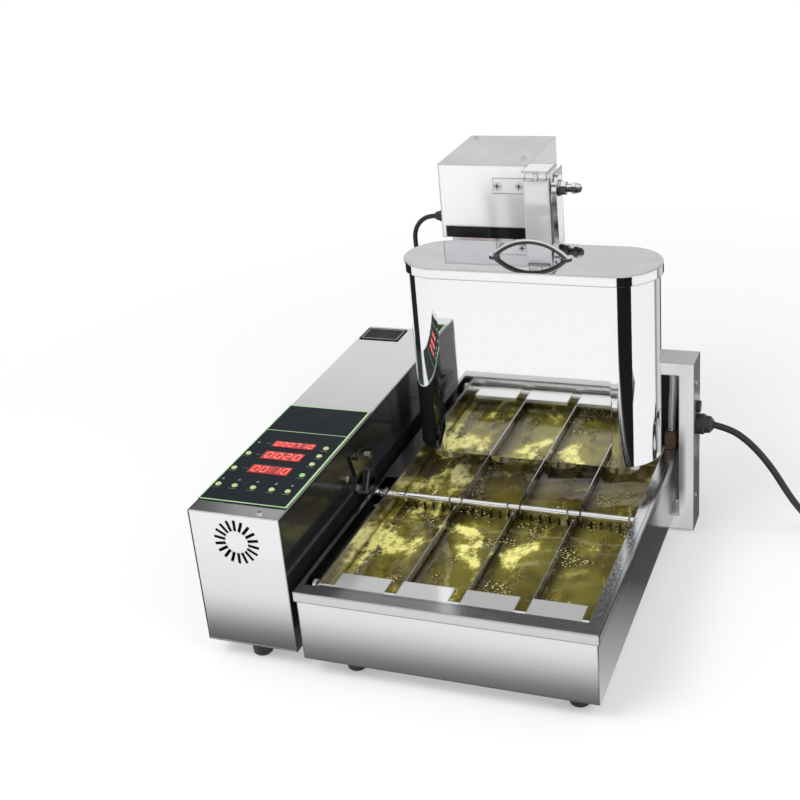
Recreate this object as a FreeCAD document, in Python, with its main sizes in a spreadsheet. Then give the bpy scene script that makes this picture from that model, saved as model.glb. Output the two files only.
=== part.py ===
"""A four-lane mini-donut fryer with a batter depositor, as a parametric assembly of its pieces.

The frame stands on the floor at z 0, with x to the right, y to the back and the origin under the middle.
"""
import FreeCAD
import Part
import Sketcher
import math
import os
import re
from FreeCAD import Placement, Rotation, Vector

# Driving dimensions in millimetres, angles in degrees. Distances named _x run left from the fryer
# body's right side, those named _y run back from its front, and those named _z run up from the floor.
DIMS = {
    # Whole machine and its folded sheet
    "overall_width": 490.0,
    "overall_depth": 612.0,
    "gauge": 1.5,
    "bend": 2.0,
    "clearance": 0.05,
    # Fryer body
    "foot_height": 22.0,
    "foot_radius": 12.0,
    "foot_inset": 30.0,
    "body_width": 330.0,
    "body_depth": 523.0,
    "rim_top": 107.0,
    "rim_height": 12.0,
    "rim_step": 2.0,
    "lip_front": 17.0,
    "lip_side": 5.0,
    "lip_back": 402.0,
    "well_back": 262.0,
    # Oil tank, lanes and heater
    "tank_right_x": 16.0,
    "tank_left_x": 309.0,
    "tank_front_y": 22.0,
    "tank_back_y": 398.0,
    "tank_floor": 40.0,
    "tank_top": 104.0,
    "lane_pitch": 71.0,
    "divider_gauge": 1.2,
    "divider_top": 92.0,
    "divider_foot": 60.0,
    "heater_radius": 4.0,
    "heater_z": 50.0,
    # Turner and exit lifter
    "shaft_z": 95.0,
    "shaft_radius": 4.0,
    "turner_y": 241.0,
    "exit_y": 33.0,
    "grate_width": 58.0,
    "grate_drop": 28.0,
    "scoop_reach": 26.0,
    "arm_reach": 20.0,
    "arm_lean": 5.0,
    "arm_gauge": 4.0,
    "link_pin_radius": 3.0,
    "bush_radius": 7.0,
    # Control box
    "control_width": 108.6,
    "control_gap": 8.7,
    "control_setback": 9.4,
    "control_depth": 513.7,
    "control_top": 188.0,
    "overlay_front_y": 32.0,
    "overlay_length": 235.0,
    "overlay_gauge": 1.2,
    "button_radius": 3.5,
    "button_rise": 1.8,
    "vent_z": 154.0,
    "vent_inner": 13.5,
    "vent_outer": 26.5,
    "vent_slot": 3.4,
    "vent_count": 18.0,
    "fan_size": 60.0,
    "fan_depth": 15.0,
    # Hopper, lid and nozzles
    "hopper_x": 153.7,
    "hopper_y": 334.7,
    "hopper_length": 294.0,
    "hopper_width": 94.0,
    "hopper_bottom": 134.0,
    "hopper_top": 366.0,
    "hopper_gauge": 1.2,
    "lid_gauge": 1.6,
    "lid_grow": 3.5,
    "lid_skirt": 12.0,
    "handle_span": 86.0,
    "handle_rise": 22.0,
    "handle_radius": 3.0,
    "nozzle_bore": 20.0,
    "nozzle_tip": 112.0,
    # Portal frame
    "portal_y": 386.0,
    "portal_depth": 38.0,
    "portal_reach": 22.0,
    "portal_bottom": 3.0,
    "portal_top": 226.0,
    "post_width": 18.0,
    "left_post_x": 322.0,
    "left_post_width": 12.0,
    "rail_height": 16.0,
    # Depositor drive
    "motor_left_x": 311.0,
    "motor_width": 115.0,
    "motor_y": 477.0,
    "motor_top": 433.0,
    "motor_skirt": 353.0,
    "motor_floor": 338.0,
    "pin_y": 470.0,
    "pin_z": 408.0,
    "rocker_reach": 28.0,
    "rocker_swing": 25.0,
    "stud_radius": 5.0,
    "rod_x": 160.0,
    "rod_gauge": 6.0,
    "rod_head": 16.0,
    "slide_pin_z": 297.0,
    "slide_pin_radius": 4.0,
    "guide_radius": 5.0,
    "guide_spread": 28.0,
    "guide_top": 352.0,
    "slide_bottom": 285.0,
    "slide_height": 40.0,
    "crosshead_height": 12.0,
    "plunger_radius": 19.5,
    "plunger_rod": 4.0,
    "guard_y": 457.0,
    "guard_left_x": 196.0,
    "guard_right_x": 163.0,
    "guard_bottom": 325.0,
    "guard_top": 422.0,
    # Cables
    "gland_length": 20.7,
    "gland_radius": 12.5,
    "gland_y": 402.0,
    "gland_z": 142.0,
    "cord_radius": 4.0,
    "lead_radius": 3.0,
    "coil_pitch": 8.6,
    "coil_inner": 34.3,
    "coil_tail": 40.0,
    "plug_radius": 12.5,
    "plug_length": 46.0,
}

# Reference places worked out from the driving dimensions
PLACES = {
    "right": "overall_width / 2 - gland_length - portal_reach",
    "left": "right - body_width",
    "front": "-overall_depth / 2",
    "back": "front + body_depth",
    "control_left": "-overall_width / 2",
    "control_right": "control_left + control_width",
    "control_front": "front + control_setback",
    "control_back": "control_front + control_depth",
    "tank_west": "right - tank_left_x",
    "tank_east": "right - tank_right_x",
    "tank_south": "front + tank_front_y",
    "tank_north": "front + tank_back_y",
    "turner_row": "front + turner_y",
    "exit_row": "front + exit_y",
    "hopper_mid": "right - hopper_x",
    "hopper_row": "front + hopper_y",
    "hopper_end": "hopper_width / 2",
    "portal_face": "front + portal_y",
    "portal_rear": "portal_face + portal_depth",
    "portal_right": "right + portal_reach",
    "box_left": "right - motor_left_x",
    "box_right": "box_left + motor_width",
    "box_front": "front + motor_y",
    "box_back": "overall_depth / 2",
    "pin_row": "front + pin_y",
    "pivot_row": "pin_row + rocker_reach",
    "pin_shift": "rocker_reach * (1 - cos(rocker_swing * 1 deg)) / 2",
    "guide_row": "portal_face + portal_depth / 2",
    "slide_top": "slide_bottom + slide_height",
    "arm_bottom": "slide_top - crosshead_height",
}

doc = FreeCAD.newDocument("donut_maker")
NODES = []
WORD = re.compile(r"[a-z][a-z_]*")


def formula(text):
    """Write a formula of named sizes and places as an expression on the sheet."""
    def cell(match):
        word = match.group(0)
        if word in DIMS:
            return "dims." + word
        if word in PLACES:
            return "places." + word
        return word
    return WORD.sub(cell, str(text))


def make_sheet():
    """Put the driving dimensions in a sheet, and the places that follow from them beside it."""
    dims = doc.addObject("Spreadsheet::Sheet", "dims")
    for row, (name, value) in enumerate(DIMS.items(), start=1):
        dims.set(f"A{row}", name)
        dims.set(f"B{row}", str(value))
        dims.setAlias(f"B{row}", name)
    doc.recompute()
    places = doc.addObject("App::FeaturePython", "places")
    for name in PLACES:
        places.addProperty("App::PropertyFloat", name)
    for name, text in PLACES.items():
        places.setExpression(name, formula(text))
    ruler = doc.addObject("App::FeaturePython", "ruler")
    ruler.addProperty("App::PropertyFloat", "reading")
    doc.recompute()
    return ruler


RULER = make_sheet()


def number(text):
    """Read a formula of named sizes and places as a number."""
    RULER.setExpression("reading", formula(text))
    RULER.recompute()
    return RULER.reading


def put(item, place):
    """Bind an object's place to three formulas."""
    for axis, text in zip("xyz", place):
        item.setExpression("Placement.Base." + axis, formula(text))


TURNS = {
    "x": Rotation(Vector(0, 1, 0), 90),
    "-x": Rotation(Vector(0, 1, 0), -90),
    "y": Rotation(Vector(1, 0, 0), -90),
    "z": Rotation(),
}


def box(size, corner):
    """A block of three sizes from its lowest corner."""
    item = doc.addObject("Part::Box", "block")
    for prop, text in zip(("Length", "Width", "Height"), size):
        item.setExpression(prop, formula(text))
    put(item, corner)
    return item


def slab(low, high):
    """A block between two corners."""
    return box([f"({top}) - ({bottom})" for bottom, top in zip(low, high)], low)


def rod(radius, length, start, axis="z"):
    """A round bar from a start point along an axis."""
    item = doc.addObject("Part::Cylinder", "bar")
    item.Placement = Placement(Vector(), TURNS[axis])
    item.setExpression("Radius", formula(radius))
    item.setExpression("Height", formula(length))
    put(item, start)
    return item


def fuse(items):
    """Join pieces into one solid."""
    if len(items) == 1:
        return items[0]
    item = doc.addObject("Part::MultiFuse", "joined")
    item.Shapes = items
    item.Refine = True
    return item


def cut(base, tools):
    """Cut tools out of a piece."""
    item = doc.addObject("Part::Cut", "trimmed")
    item.Base = base
    item.Tool = fuse(tools)
    return item


def group(items):
    """Keep several separate solids as one set."""
    item = doc.addObject("Part::Compound", "set")
    item.Links = items
    return item


def soften(base, radius, pick):
    """Round the edges of a piece that a test picks."""
    doc.recompute()
    size = number(radius)
    item = doc.addObject("Part::Fillet", "rounded")
    item.Base = base
    item.Edges = [(index, size, size) for index, edge in enumerate(base.Shape.Edges, start=1) if pick(edge)]
    return item


def shaped(shape):
    """A piece whose shape is worked out from the sheet."""
    item = doc.addObject("Part::Feature", "formed")
    item.Shape = shape
    return item


def node(label, item):
    """Name a finished piece."""
    item.Label = label
    NODES.append(item)


def level(height):
    """A test for edges that lie level at a height."""
    reading = number(height)
    return lambda edge: all(abs(corner.Z - reading) < 0.01 for corner in edge.Vertexes)


def upright(edge):
    """A test for upright straight edges."""
    low = edge.Vertexes[0].Point
    high = edge.Vertexes[-1].Point
    return abs(low.z - high.z) > 0.5 and abs(low.x - high.x) + abs(low.y - high.y) < 0.01


def sketch_in(owner, role):
    """A sketch on one of a body's own planes."""
    item = owner.newObject("Sketcher::SketchObject", owner.Name + "_sketch")
    plane = next(feature for feature in owner.Origin.OriginFeatures if feature.Role == role)
    item.AttachmentSupport = [(plane, "")]
    item.MapMode = "FlatFace"
    return item


def hold(item, geometry, corner, place):
    """Hold a sketch point at two formulas from the sketch's origin."""
    for kind, text in zip(("DistanceX", "DistanceY"), place):
        index = item.addConstraint(Sketcher.Constraint(kind, -1, 1, geometry, corner, number(text)))
        item.setExpression(f"Constraints[{index}]", formula(text))


def polygon(item, points):
    """Draw a closed outline through points that are held by formulas."""
    spots = [Vector(number(across), number(along), 0) for across, along in points]
    first = item.GeometryCount
    count = len(spots)
    for index in range(count):
        item.addGeometry(Part.LineSegment(spots[index], spots[(index + 1) % count]))
    for index in range(count):
        follower = first + (index + 1) % count
        item.addConstraint(Sketcher.Constraint("Coincident", first + index, 2, follower, 1))
        hold(item, first + index, 1, points[index])


def circle(item, centre, radius):
    """Draw a circle held by formulas."""
    spot = Vector(number(centre[0]), number(centre[1]), 0)
    index = item.addGeometry(Part.Circle(spot, Vector(0, 0, 1), number(radius)))
    hold(item, index, 3, centre)
    size = item.addConstraint(Sketcher.Constraint("Radius", index, number(radius)))
    item.setExpression(f"Constraints[{size}]", formula(radius))


def turned(name, outline, place, axis="z"):
    """A body turned about its own axis, from (radius, height) points."""
    owner = doc.addObject("PartDesign::Body", name)
    profile = sketch_in(owner, "XZ_Plane")
    polygon(profile, outline)
    feature = owner.newObject("PartDesign::Revolution", name + "_turn")
    feature.Profile = profile
    feature.ReferenceAxis = (profile, ["V_Axis"])
    feature.Angle = 360
    owner.Placement = Placement(Vector(), TURNS[axis])
    put(owner, place)
    return owner


def padded(name, outline, thickness, place):
    """A plate cut to an outline of (y, z) points, thick along x."""
    owner = doc.addObject("PartDesign::Body", name)
    profile = sketch_in(owner, "YZ_Plane")
    polygon(profile, outline)
    feature = owner.newObject("PartDesign::Pad", name + "_pad")
    feature.Profile = profile
    feature.setExpression("Length", formula(thickness))
    put(owner, place)
    return owner


def stadium(low, high, grow):
    """A tall block with half-round ends, as the hopper's plan grown by an offset."""
    reach = f"hopper_end + {grow}"
    run = "hopper_length / 2 - hopper_end"
    height = f"({high}) - ({low})"
    ends = [rod(reach, height, (f"hopper_mid + {side} * ({run})", "hopper_row", low)) for side in (-1, 1)]
    middle = box((f"2 * ({run})", f"2 * ({reach})", height), (f"hopper_mid - ({run})", f"hopper_row - ({reach})", low))
    return fuse([middle] + ends)


def lane_middle(lane):
    """The middle of a lane, counted from the right."""
    return f"tank_east - {lane + 0.5} * lane_pitch"


def make_body():
    """The fryer body: folded shell, bottom pan, rim frame, feet and the spacers to the control box."""
    shaft_way = rod("shaft_radius + 2", "rim_step + 2 * gauge + 2", ("left - 1", "turner_row", "shaft_z"), "x")
    outer = slab(
        ("left + rim_step", "front + rim_step", "foot_height"),
        ("right - rim_step", "back - rim_step", "rim_top - gauge"))
    inner = slab(
        ("left + rim_step + gauge", "front + rim_step + gauge", "foot_height - 1"),
        ("right - rim_step - gauge", "back - rim_step - gauge", "rim_top"))
    node("base_shell", cut(soften(outer, "bend", upright), [inner, shaft_way]))

    node("base_pan", slab(
        ("left + rim_step + gauge", "front + rim_step + gauge", "foot_height"),
        ("right - rim_step - gauge", "back - rim_step - gauge", "foot_height + gauge")))

    band = slab(("left", "front", "rim_top - rim_height"), ("right", "back", "rim_top"))
    inside = slab(
        ("left + gauge", "front + gauge", "rim_top - rim_height - 1"),
        ("right - gauge", "back - gauge", "rim_top - gauge"))
    opening = slab(
        ("tank_west", "front + lip_front", "rim_top - 3 * gauge"),
        ("right - lip_side", "front + lip_back", "rim_top + 1"))
    well = slab(
        ("left + rim_step + 2 * gauge", "front + lip_front", "rim_top - 3 * gauge"),
        ("tank_west - gauge", "front + well_back", "rim_top + 1"))
    seat = slab(
        ("left - 1", "turner_row - shaft_radius - 2", "shaft_z"),
        ("left + 2 * gauge", "turner_row + shaft_radius + 2", "rim_top + 1"))
    rounded = soften(band, "bend / 2", lambda edge: upright(edge) or level("rim_top")(edge))
    node("rim_frame", cut(rounded, [inside, opening, well, seat]))

    outline = [("0", "0"), ("foot_radius - 3", "0"), ("foot_radius - 1", "2"), ("foot_radius", "foot_height - 4"),
               ("foot_radius", "foot_height"), ("0", "foot_height")]
    columns = ["left + foot_inset + 22", "right - foot_inset", "(control_left + control_right) / 2"]
    rows = ["front + foot_inset", "back - foot_inset"]
    node("feet", group([turned("foot", outline, (column, row, "0")) for column in columns for row in rows]))

    spacers = []
    for row in ("front + 60", "front + 180", "front + 330", "back - 60"):
        start = ("control_right", row, "foot_height + 24")
        spacers.append(rod("6", "control_gap + rim_step", start, "x"))
    node("box_spacers", group(spacers))


def bush(wall, row, facing):
    """A flanged bush in a tank wall."""
    length = "gauge + 3"
    tube = rod("bush_radius - 1", length, (wall if facing > 0 else f"{wall} - 3", row, "shaft_z"), "x")
    flange = rod("bush_radius", "1.5", (f"{wall} + gauge" if facing > 0 else f"{wall} - 1.5", row, "shaft_z"), "x")
    hole = rod("shaft_radius + clearance", "20", (f"{wall} - 10", row, "shaft_z"), "x")
    return cut(fuse([tube, flange]), [hole])


def make_tank():
    """The oil tank with its flange, the lane rack, the heating element, the thermostat bulb and bushes."""
    walls = slab(
        ("tank_west - gauge", "tank_south - gauge", "tank_floor - gauge"),
        ("tank_east + gauge", "tank_north + gauge", "tank_top + gauge"))
    flange = slab(
        ("tank_west - gauge", "front + rim_step + gauge + 1", "tank_top"),
        ("right - rim_step - gauge - 0.2", "front + lip_back + 10", "tank_top + gauge"))
    inside = slab(("tank_west", "tank_south", "tank_floor"), ("tank_east", "tank_north", "rim_top"))
    ways = []
    for row in ("turner_row", "exit_row"):
        for wall in ("tank_west - gauge", "tank_east"):
            ways.append(rod("bush_radius - 1", "gauge + 2", (f"{wall} - 1", row, "shaft_z"), "x"))
    for lane in (0, 3):
        ways.append(rod("heater_radius", "10", (lane_middle(lane), "tank_north - 4", "heater_z"), "y"))
    ways.append(rod("3", "10", ("tank_east - 10", "tank_north - 4", "heater_z + 6"), "y"))
    node("oil_tank", cut(fuse([walls, flange]), [inside] + ways))

    plates = []
    notches = []
    for lane in (1, 2, 3):
        middle = f"tank_east - {lane} * lane_pitch"
        plates.append(slab(
            (f"{middle} - divider_gauge / 2", "tank_south + 6", "divider_foot"),
            (f"{middle} + divider_gauge / 2", "tank_north - 6", "divider_top")))
        for row in ("turner_row", "exit_row"):
            notches.append(box(("6", "2 * shaft_radius + 6", "20"),
                               (f"{middle} - 3", f"{row} - shaft_radius - 3", "shaft_z - shaft_radius - 3")))
    for row in ("tank_south + 60", "tank_north - 16"):
        plates.append(rod("3", "tank_east - tank_west", ("tank_west", row, "divider_foot + 3"), "x"))
    node("lane_rack", cut(fuse(plates), notches))

    node("heating_element", shaped(heater_shape()))
    node("thermostat_bulb", rod("3", "110", ("tank_east - 10", "tank_north - 96", "heater_z + 6"), "y"))

    bushes = []
    for row in ("turner_row", "exit_row"):
        bushes.append(bush("tank_west - gauge", row, -1))
        bushes.append(bush("tank_east", row, 1))
    node("shaft_bushes", group(bushes))


def tube_along(edges, radius):
    """A solid round tube along joined edges."""
    wire = Part.Wire(edges)
    start = edges[0].firstVertex(True).Point
    heading = edges[0].tangentAt(edges[0].FirstParameter)
    ring = Part.Wire([Part.Circle(start, heading, radius).toShape()])
    return wire.makePipeShell([ring], True, False)


def heater_shape():
    """A tube that runs up and down under the four lanes, with both ends through the back wall."""
    columns = [number(lane_middle(lane)) for lane in range(4)]
    height = number("heater_z")
    bend = number("lane_pitch / 2")
    near = number("tank_south + 20") + bend
    far = number("tank_north - 24") - bend
    outside = number("tank_north + gauge + 10")
    runs = []
    at = Vector(columns[0], outside, height)
    for index, column in enumerate(columns):
        forward = index % 2 == 0
        last = index == len(columns) - 1
        turn_row = near if forward else far
        goal = Vector(column, outside if last else turn_row, height)
        runs.append(Part.LineSegment(at, goal).toShape())
        if last:
            break
        at = Vector(columns[index + 1], turn_row, height)
        crown = Vector((column + at.x) / 2, turn_row + (-bend if forward else bend), height)
        runs.append(Part.Arc(goal, crown, at).toShape())
    return tube_along(runs, number("heater_radius"))


def link_arm(row):
    """An arm on a shaft that leans a little forward from straight down, with the tie bar's pin."""
    face = "tank_west - gauge - 9"
    pin = (f"{row} - arm_reach * sin(arm_lean * 1 deg)", "shaft_z - arm_reach * cos(arm_lean * 1 deg)")
    hub = rod("shaft_radius + 4", "arm_gauge", (face, row, "shaft_z"), "x")
    eye = rod("link_pin_radius + 3", "arm_gauge", (face, pin[0], pin[1]), "x")
    web = box(("arm_gauge", "8", "arm_reach"),
              (face, f"{row} + 4 * cos(arm_lean * 1 deg)", "shaft_z - 4 * sin(arm_lean * 1 deg)"))
    web.Placement = Placement(web.Placement.Base, Rotation(Vector(1, 0, 0), 180 - number("arm_lean")))
    stub = rod("link_pin_radius", "arm_gauge + 1.5", (f"{face} - arm_gauge - 1.5", pin[0], pin[1]), "x")
    return [hub, eye, web, stub]


def make_turner():
    """The turner across the lanes, the exit lifter at the front and the tie bar between them."""
    start = "control_right - gauge - 20"
    pieces = [rod("shaft_radius", f"tank_east + 3 - ({start})", (start, "turner_row", "shaft_z"), "x")]
    for lane in range(4):
        edge = f"tank_east - {lane + 1} * lane_pitch + 6.5"
        low = "shaft_z - grate_drop"
        pieces.append(box(("grate_width", "3", "5"), (edge, "turner_row - 1.5", low)))
        for fin in range(6):
            place = (f"{edge} + {fin} * (grate_width - 2.4) / 5", "turner_row - 1.5", low)
            pieces.append(box(("2.4", "3", "grate_drop"), place))
        for side in ("0", "grate_width - 2"):
            pieces.append(box(("2", "12", "14"), (f"{edge} + {side}", "turner_row - 6", "shaft_z - 9")))
    node("turner", fuse(pieces + link_arm("turner_row")))

    start = "tank_west - gauge - 9"
    pieces = [rod("shaft_radius", f"tank_east + 3 - ({start})", (start, "exit_row", "shaft_z"), "x")]
    for lane in range(4):
        edge = f"tank_east - {lane + 1} * lane_pitch + 3"
        pieces.append(box(("grate_width", "scoop_reach + shaft_radius", "gauge"),
                          (edge, "exit_row - shaft_radius", "shaft_z + shaft_radius - gauge")))
        pieces.append(box(("grate_width", "gauge", "5"),
                          (edge, "exit_row + scoop_reach - gauge", "shaft_z + shaft_radius - 5")))
    node("exit_lifter", fuse(pieces + link_arm("exit_row")))

    face = "tank_west - gauge - 10 - arm_gauge"
    drop = "shaft_z - arm_reach * cos(arm_lean * 1 deg)"
    rows = [f"{row} - arm_reach * sin(arm_lean * 1 deg)" for row in ("exit_row", "turner_row")]
    bar = slab((face, rows[0], f"{drop} - 3.5"), (f"{face} + arm_gauge", rows[1], f"{drop} + 3.5"))
    eyes = [rod("link_pin_radius + 3", "arm_gauge", (face, row, drop), "x") for row in rows]
    plays = ("0.35", "clearance")
    holes = [rod(f"link_pin_radius + {play}", "20", (f"{face} - 8", row, drop), "x")
             for play, row in zip(plays, rows)]
    node("tie_bar", cut(fuse([bar] + eyes), holes))


# Push buttons and lamps on the overlay, as (across from the box's left side, back from the body's front)
BUTTONS = [
    ("93", "167"), ("93", "148"), ("93", "128.5"), ("93", "102.5"),
    ("8.5", "139"), ("8.5", "103.5"),
    ("8.5", "65.5"), ("28.5", "65.5"), ("51", "65.5"), ("73.5", "65.5"), ("93", "65.5"),
]
LAMPS = [("8.5", "166"), ("8.5", "77.5"), ("28.5", "77.5"), ("51", "77.5"), ("73.5", "77.5"), ("93", "77.5")]
# Number displays, as (across, back, width, height)
DISPLAYS = [("27", "160", "52", "13"), ("27", "130", "49", "18"), ("27", "97", "49", "18")]


def make_control_box():
    """The control box: cover, vented front, chassis, overlay with displays, lamps and buttons, and badge."""
    holes = []
    for across, along in BUTTONS:
        spot = (f"control_left + {across}", f"front + {along}", "control_top - gauge - 1")
        holes.append(rod("button_radius + 0.4", "overlay_gauge + gauge + 3", spot))
    outer = slab(("control_left", "control_front", "foot_height"), ("control_right", "control_back", "control_top"))
    inner = slab(
        ("control_left + gauge", "control_front - 1", "foot_height - 1"),
        ("control_right - gauge", "control_back + 1", "control_top - gauge"))
    shaft_way = rod("shaft_radius + 2", "4 * gauge", ("control_right - 3 * gauge", "turner_row", "shaft_z"), "x")

    def roof_fold(edge):
        return level("control_top")(edge) and abs(edge.Vertexes[0].X - edge.Vertexes[-1].X) < 0.01

    node("control_cover", cut(soften(outer, "bend", roof_fold), [inner, shaft_way] + holes))
    node("control_front_panel", vent_panel())
    base = slab(
        ("control_left + gauge", "control_front", "foot_height"),
        ("control_right - gauge", "control_back", "foot_height + gauge"))
    rear = slab(
        ("control_left + gauge", "control_back - gauge", "foot_height"),
        ("control_right - gauge", "control_back", "control_top - gauge"))
    node("control_chassis", fuse([base, rear]))

    plate = box(("control_width - 2", "overlay_length", "overlay_gauge"),
                ("control_left + 1", "front + overlay_front_y", "control_top"))
    node("control_overlay", cut(plate, holes))
    face = "control_top + overlay_gauge"
    windows = [box((width, height, "0.6"), (f"control_left + {across}", f"front + {along}", face))
               for across, along, width, height in DISPLAYS]
    node("display_windows", group(windows))
    lamps = [rod("1.6", "0.7", (f"control_left + {across}", f"front + {along}", face)) for across, along in LAMPS]
    node("indicator_lamps", group(lamps))
    outline = [("0", "0"), ("button_radius", "0"), ("button_radius", "6"), ("button_radius - 0.7", "6.8"),
               ("button_radius - 1.8", "7.2"), ("0", "7.3")]
    for index, (across, along) in enumerate(BUTTONS, start=1):
        place = (f"control_left + {across}", f"front + {along}", f"{face} + button_rise - 7.3")
        node(f"button_{index}", turned("button", outline, place))
    badge = box(("56", "38", "1"), ("control_left + 3.5", "front + 479", "control_top"))
    node("badge_plate", soften(badge, "1.2", upright))


def vent_panel():
    """The control box's front sheet with a ring of slots."""
    owner = doc.addObject("PartDesign::Body", "vent_panel")
    half = "(control_width - 2 * gauge) / 2"
    low = "foot_height + gauge - vent_z"
    high = "control_top - gauge - vent_z"
    profile = sketch_in(owner, "XZ_Plane")
    polygon(profile, [(f"-({half})", low), (half, low), (half, high), (f"-({half})", high)])
    plate = owner.newObject("PartDesign::Pad", "vent_plate")
    plate.Profile = profile
    plate.setExpression("Length", formula("gauge"))
    slot = sketch_in(owner, "XZ_Plane")
    polygon(slot, [("-vent_slot / 2", "vent_inner"), ("vent_slot / 2", "vent_inner"),
                   ("vent_slot / 2", "vent_outer"), ("-vent_slot / 2", "vent_outer")])
    pocket = owner.newObject("PartDesign::Pocket", "vent_slot")
    pocket.Profile = slot
    pocket.Type = "ThroughAll"
    pocket.Midplane = True
    ring = owner.newObject("PartDesign::PolarPattern", "vent_ring")
    ring.Originals = [pocket]
    ring.Axis = (slot, ["N_Axis"])
    ring.Angle = 360
    ring.setExpression("Occurrences", formula("vent_count"))
    owner.Tip = ring
    put(owner, ("(control_left + control_right) / 2", "control_front + gauge", "vent_z"))
    return owner


def make_control_inside():
    """What the control box holds: board, fan, turner gear motor, and the bearing bracket on its wall."""
    board = box(("94", "200", "1.6"), ("control_left + 7", "front + 46", "control_top - 20"))
    posts = []
    for across in ("14", "94"):
        for along in ("52", "240"):
            spot = (f"control_left + {across}", f"front + {along}", "control_top - 18.4")
            posts.append(rod("3", "18.4 - gauge", spot))
    chips = [box(("30", "40", "6"), ("control_left + 30", "front + 70", "control_top - 26")),
             box(("24", "24", "9"), ("control_left + 66", "front + 180", "control_top - 29"))]
    node("control_board", fuse([board] + posts + chips))

    middle = "(control_left + control_right) / 2"
    face = "control_front + gauge"
    frame = box(("fan_size", "fan_depth", "fan_size"),
                (f"{middle} - fan_size / 2", face, "vent_z - fan_size / 2"))
    duct = rod("fan_size / 2 - 1.5", "fan_depth - 1", (middle, f"{face} - 1", "vent_z"), "y")
    ribs = [box(("fan_size - 2", "1.8", "3"), (f"{middle} - fan_size / 2 + 1", f"{face} + fan_depth - 2", "vent_z - 1.5")),
            box(("3", "1.8", "fan_size - 2"), (f"{middle} - 1.5", f"{face} + fan_depth - 2", "vent_z - fan_size / 2 + 1"))]
    opening = rod("fan_size / 2 - 1.5", "4", (middle, f"{face} + fan_depth - 3", "vent_z"), "y")
    seat = rod("9", "1.8", (middle, f"{face} + fan_depth - 2", "vent_z"), "y")
    axle = rod("2.5", "fan_depth - 4", (middle, f"{face} + 3", "vent_z"), "y")
    node("fan_frame", fuse([cut(frame, [duct, opening]), seat, axle] + ribs))

    hub = rod("11", "fan_depth - 6", (middle, f"{face} + 3", "vent_z"), "y")
    blades = []
    for index in range(7):
        blade = box(("fan_size / 2 - 12", "fan_depth - 8", "1.5"), (middle, f"{face} + 4", "vent_z"))
        turn = Rotation(Vector(0, 1, 0), index * 360 / 7)
        lean = Rotation(Vector(1, 0, 0), 35)
        reach = turn.multVec(Vector(10, 0, 0))
        blade.Placement = Placement(Vector(), turn.multiply(lean))
        put(blade, (f"{middle} + {reach.x:.4f}", f"{face} + 4.5", f"vent_z + {reach.z:.4f}"))
        blades.append(blade)
    shell = rod("fan_size / 2 - 3", "fan_depth - 6", (middle, f"{face} + 3", "vent_z"), "y")
    bore = rod("2.5 + clearance", "fan_depth", (middle, face, "vent_z"), "y")
    trimmed = doc.addObject("Part::Common", "fan_blades")
    trimmed.Base = fuse([hub] + blades)
    trimmed.Tool = shell
    node("fan_rotor", cut(trimmed, [bore]))

    inner = "control_right - gauge"
    gearbox = box(("40", "60", "64"), (f"{inner} - 40", "turner_row - 30", "shaft_z - 30"))
    barrel = rod("25", "50", (f"{inner} - 90", "turner_row", "shaft_z"), "x")
    bore = rod("shaft_radius + clearance", "30", (f"{inner} - 22", "turner_row", "shaft_z"), "x")
    node("turner_gear_motor", cut(fuse([gearbox, barrel]), [bore]))

    outline = [("-53", "75"), ("-19", "69"), ("6", "60"), ("8", "35"), ("11", "-9"), ("-11", "-9"), ("-30", "10"),
               ("-48", "27"), ("-41", "43"), ("-48", "61")]
    plate = padded("bracket_plate", outline, "3", ("control_right", "turner_row", "shaft_z"))
    boss = rod("9", "5", ("control_right", "turner_row", "shaft_z"), "x")
    knob = rod("6", "7", ("control_right", "turner_row - 36", "shaft_z + 68"), "x")
    stays = [rod("3", "6", ("control_right + 2", f"turner_row - {along}", f"shaft_z + {up}"), "x")
             for along, up in (("25", "12"), ("10", "36"))]
    stem = rod("2.5", "sqrt(15 * 15 + 24 * 24)", ("control_right + 5", "turner_row - 25", "shaft_z + 12"))
    stem.Placement = Placement(Vector(), Rotation(Vector(1, 0, 0), -math.degrees(math.atan2(15, 24))))
    hole = rod("shaft_radius + clearance", "20", ("control_right - 5", "turner_row", "shaft_z"), "x")
    node("bearing_bracket", cut(fuse([plate, boss, knob, stem] + stays), [hole]))


def make_portal():
    """The portal frame of folded channel round the fryer body, with the pad that the hopper hangs on."""
    spans = [
        ("right + portal_reach - post_width", "portal_bottom", "portal_right", "portal_top"),
        ("right - left_post_x", "portal_top - rail_height", "portal_right", "portal_top"),
        ("right - left_post_x", "rim_top", "right - left_post_x + left_post_width", "portal_top"),
        ("left + 40", "portal_bottom", "portal_right", "foot_height"),
    ]
    outside = [slab((low_x, "portal_face", low_z), (high_x, "portal_rear", high_z))
               for low_x, low_z, high_x, high_z in spans]
    inside = [slab((f"{low_x} + gauge", "portal_face + gauge", f"{low_z} + gauge"),
                   (f"{high_x} - gauge", "portal_rear + 1", f"{high_z} - gauge"))
              for low_x, low_z, high_x, high_z in spans]
    pad = slab(("hopper_mid - 90", "hopper_row + hopper_end", "portal_top - rail_height"),
               ("hopper_mid + 90", "portal_face", "portal_top"))
    node("portal_frame", fuse([cut(fuse(outside), inside), pad]))


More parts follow.
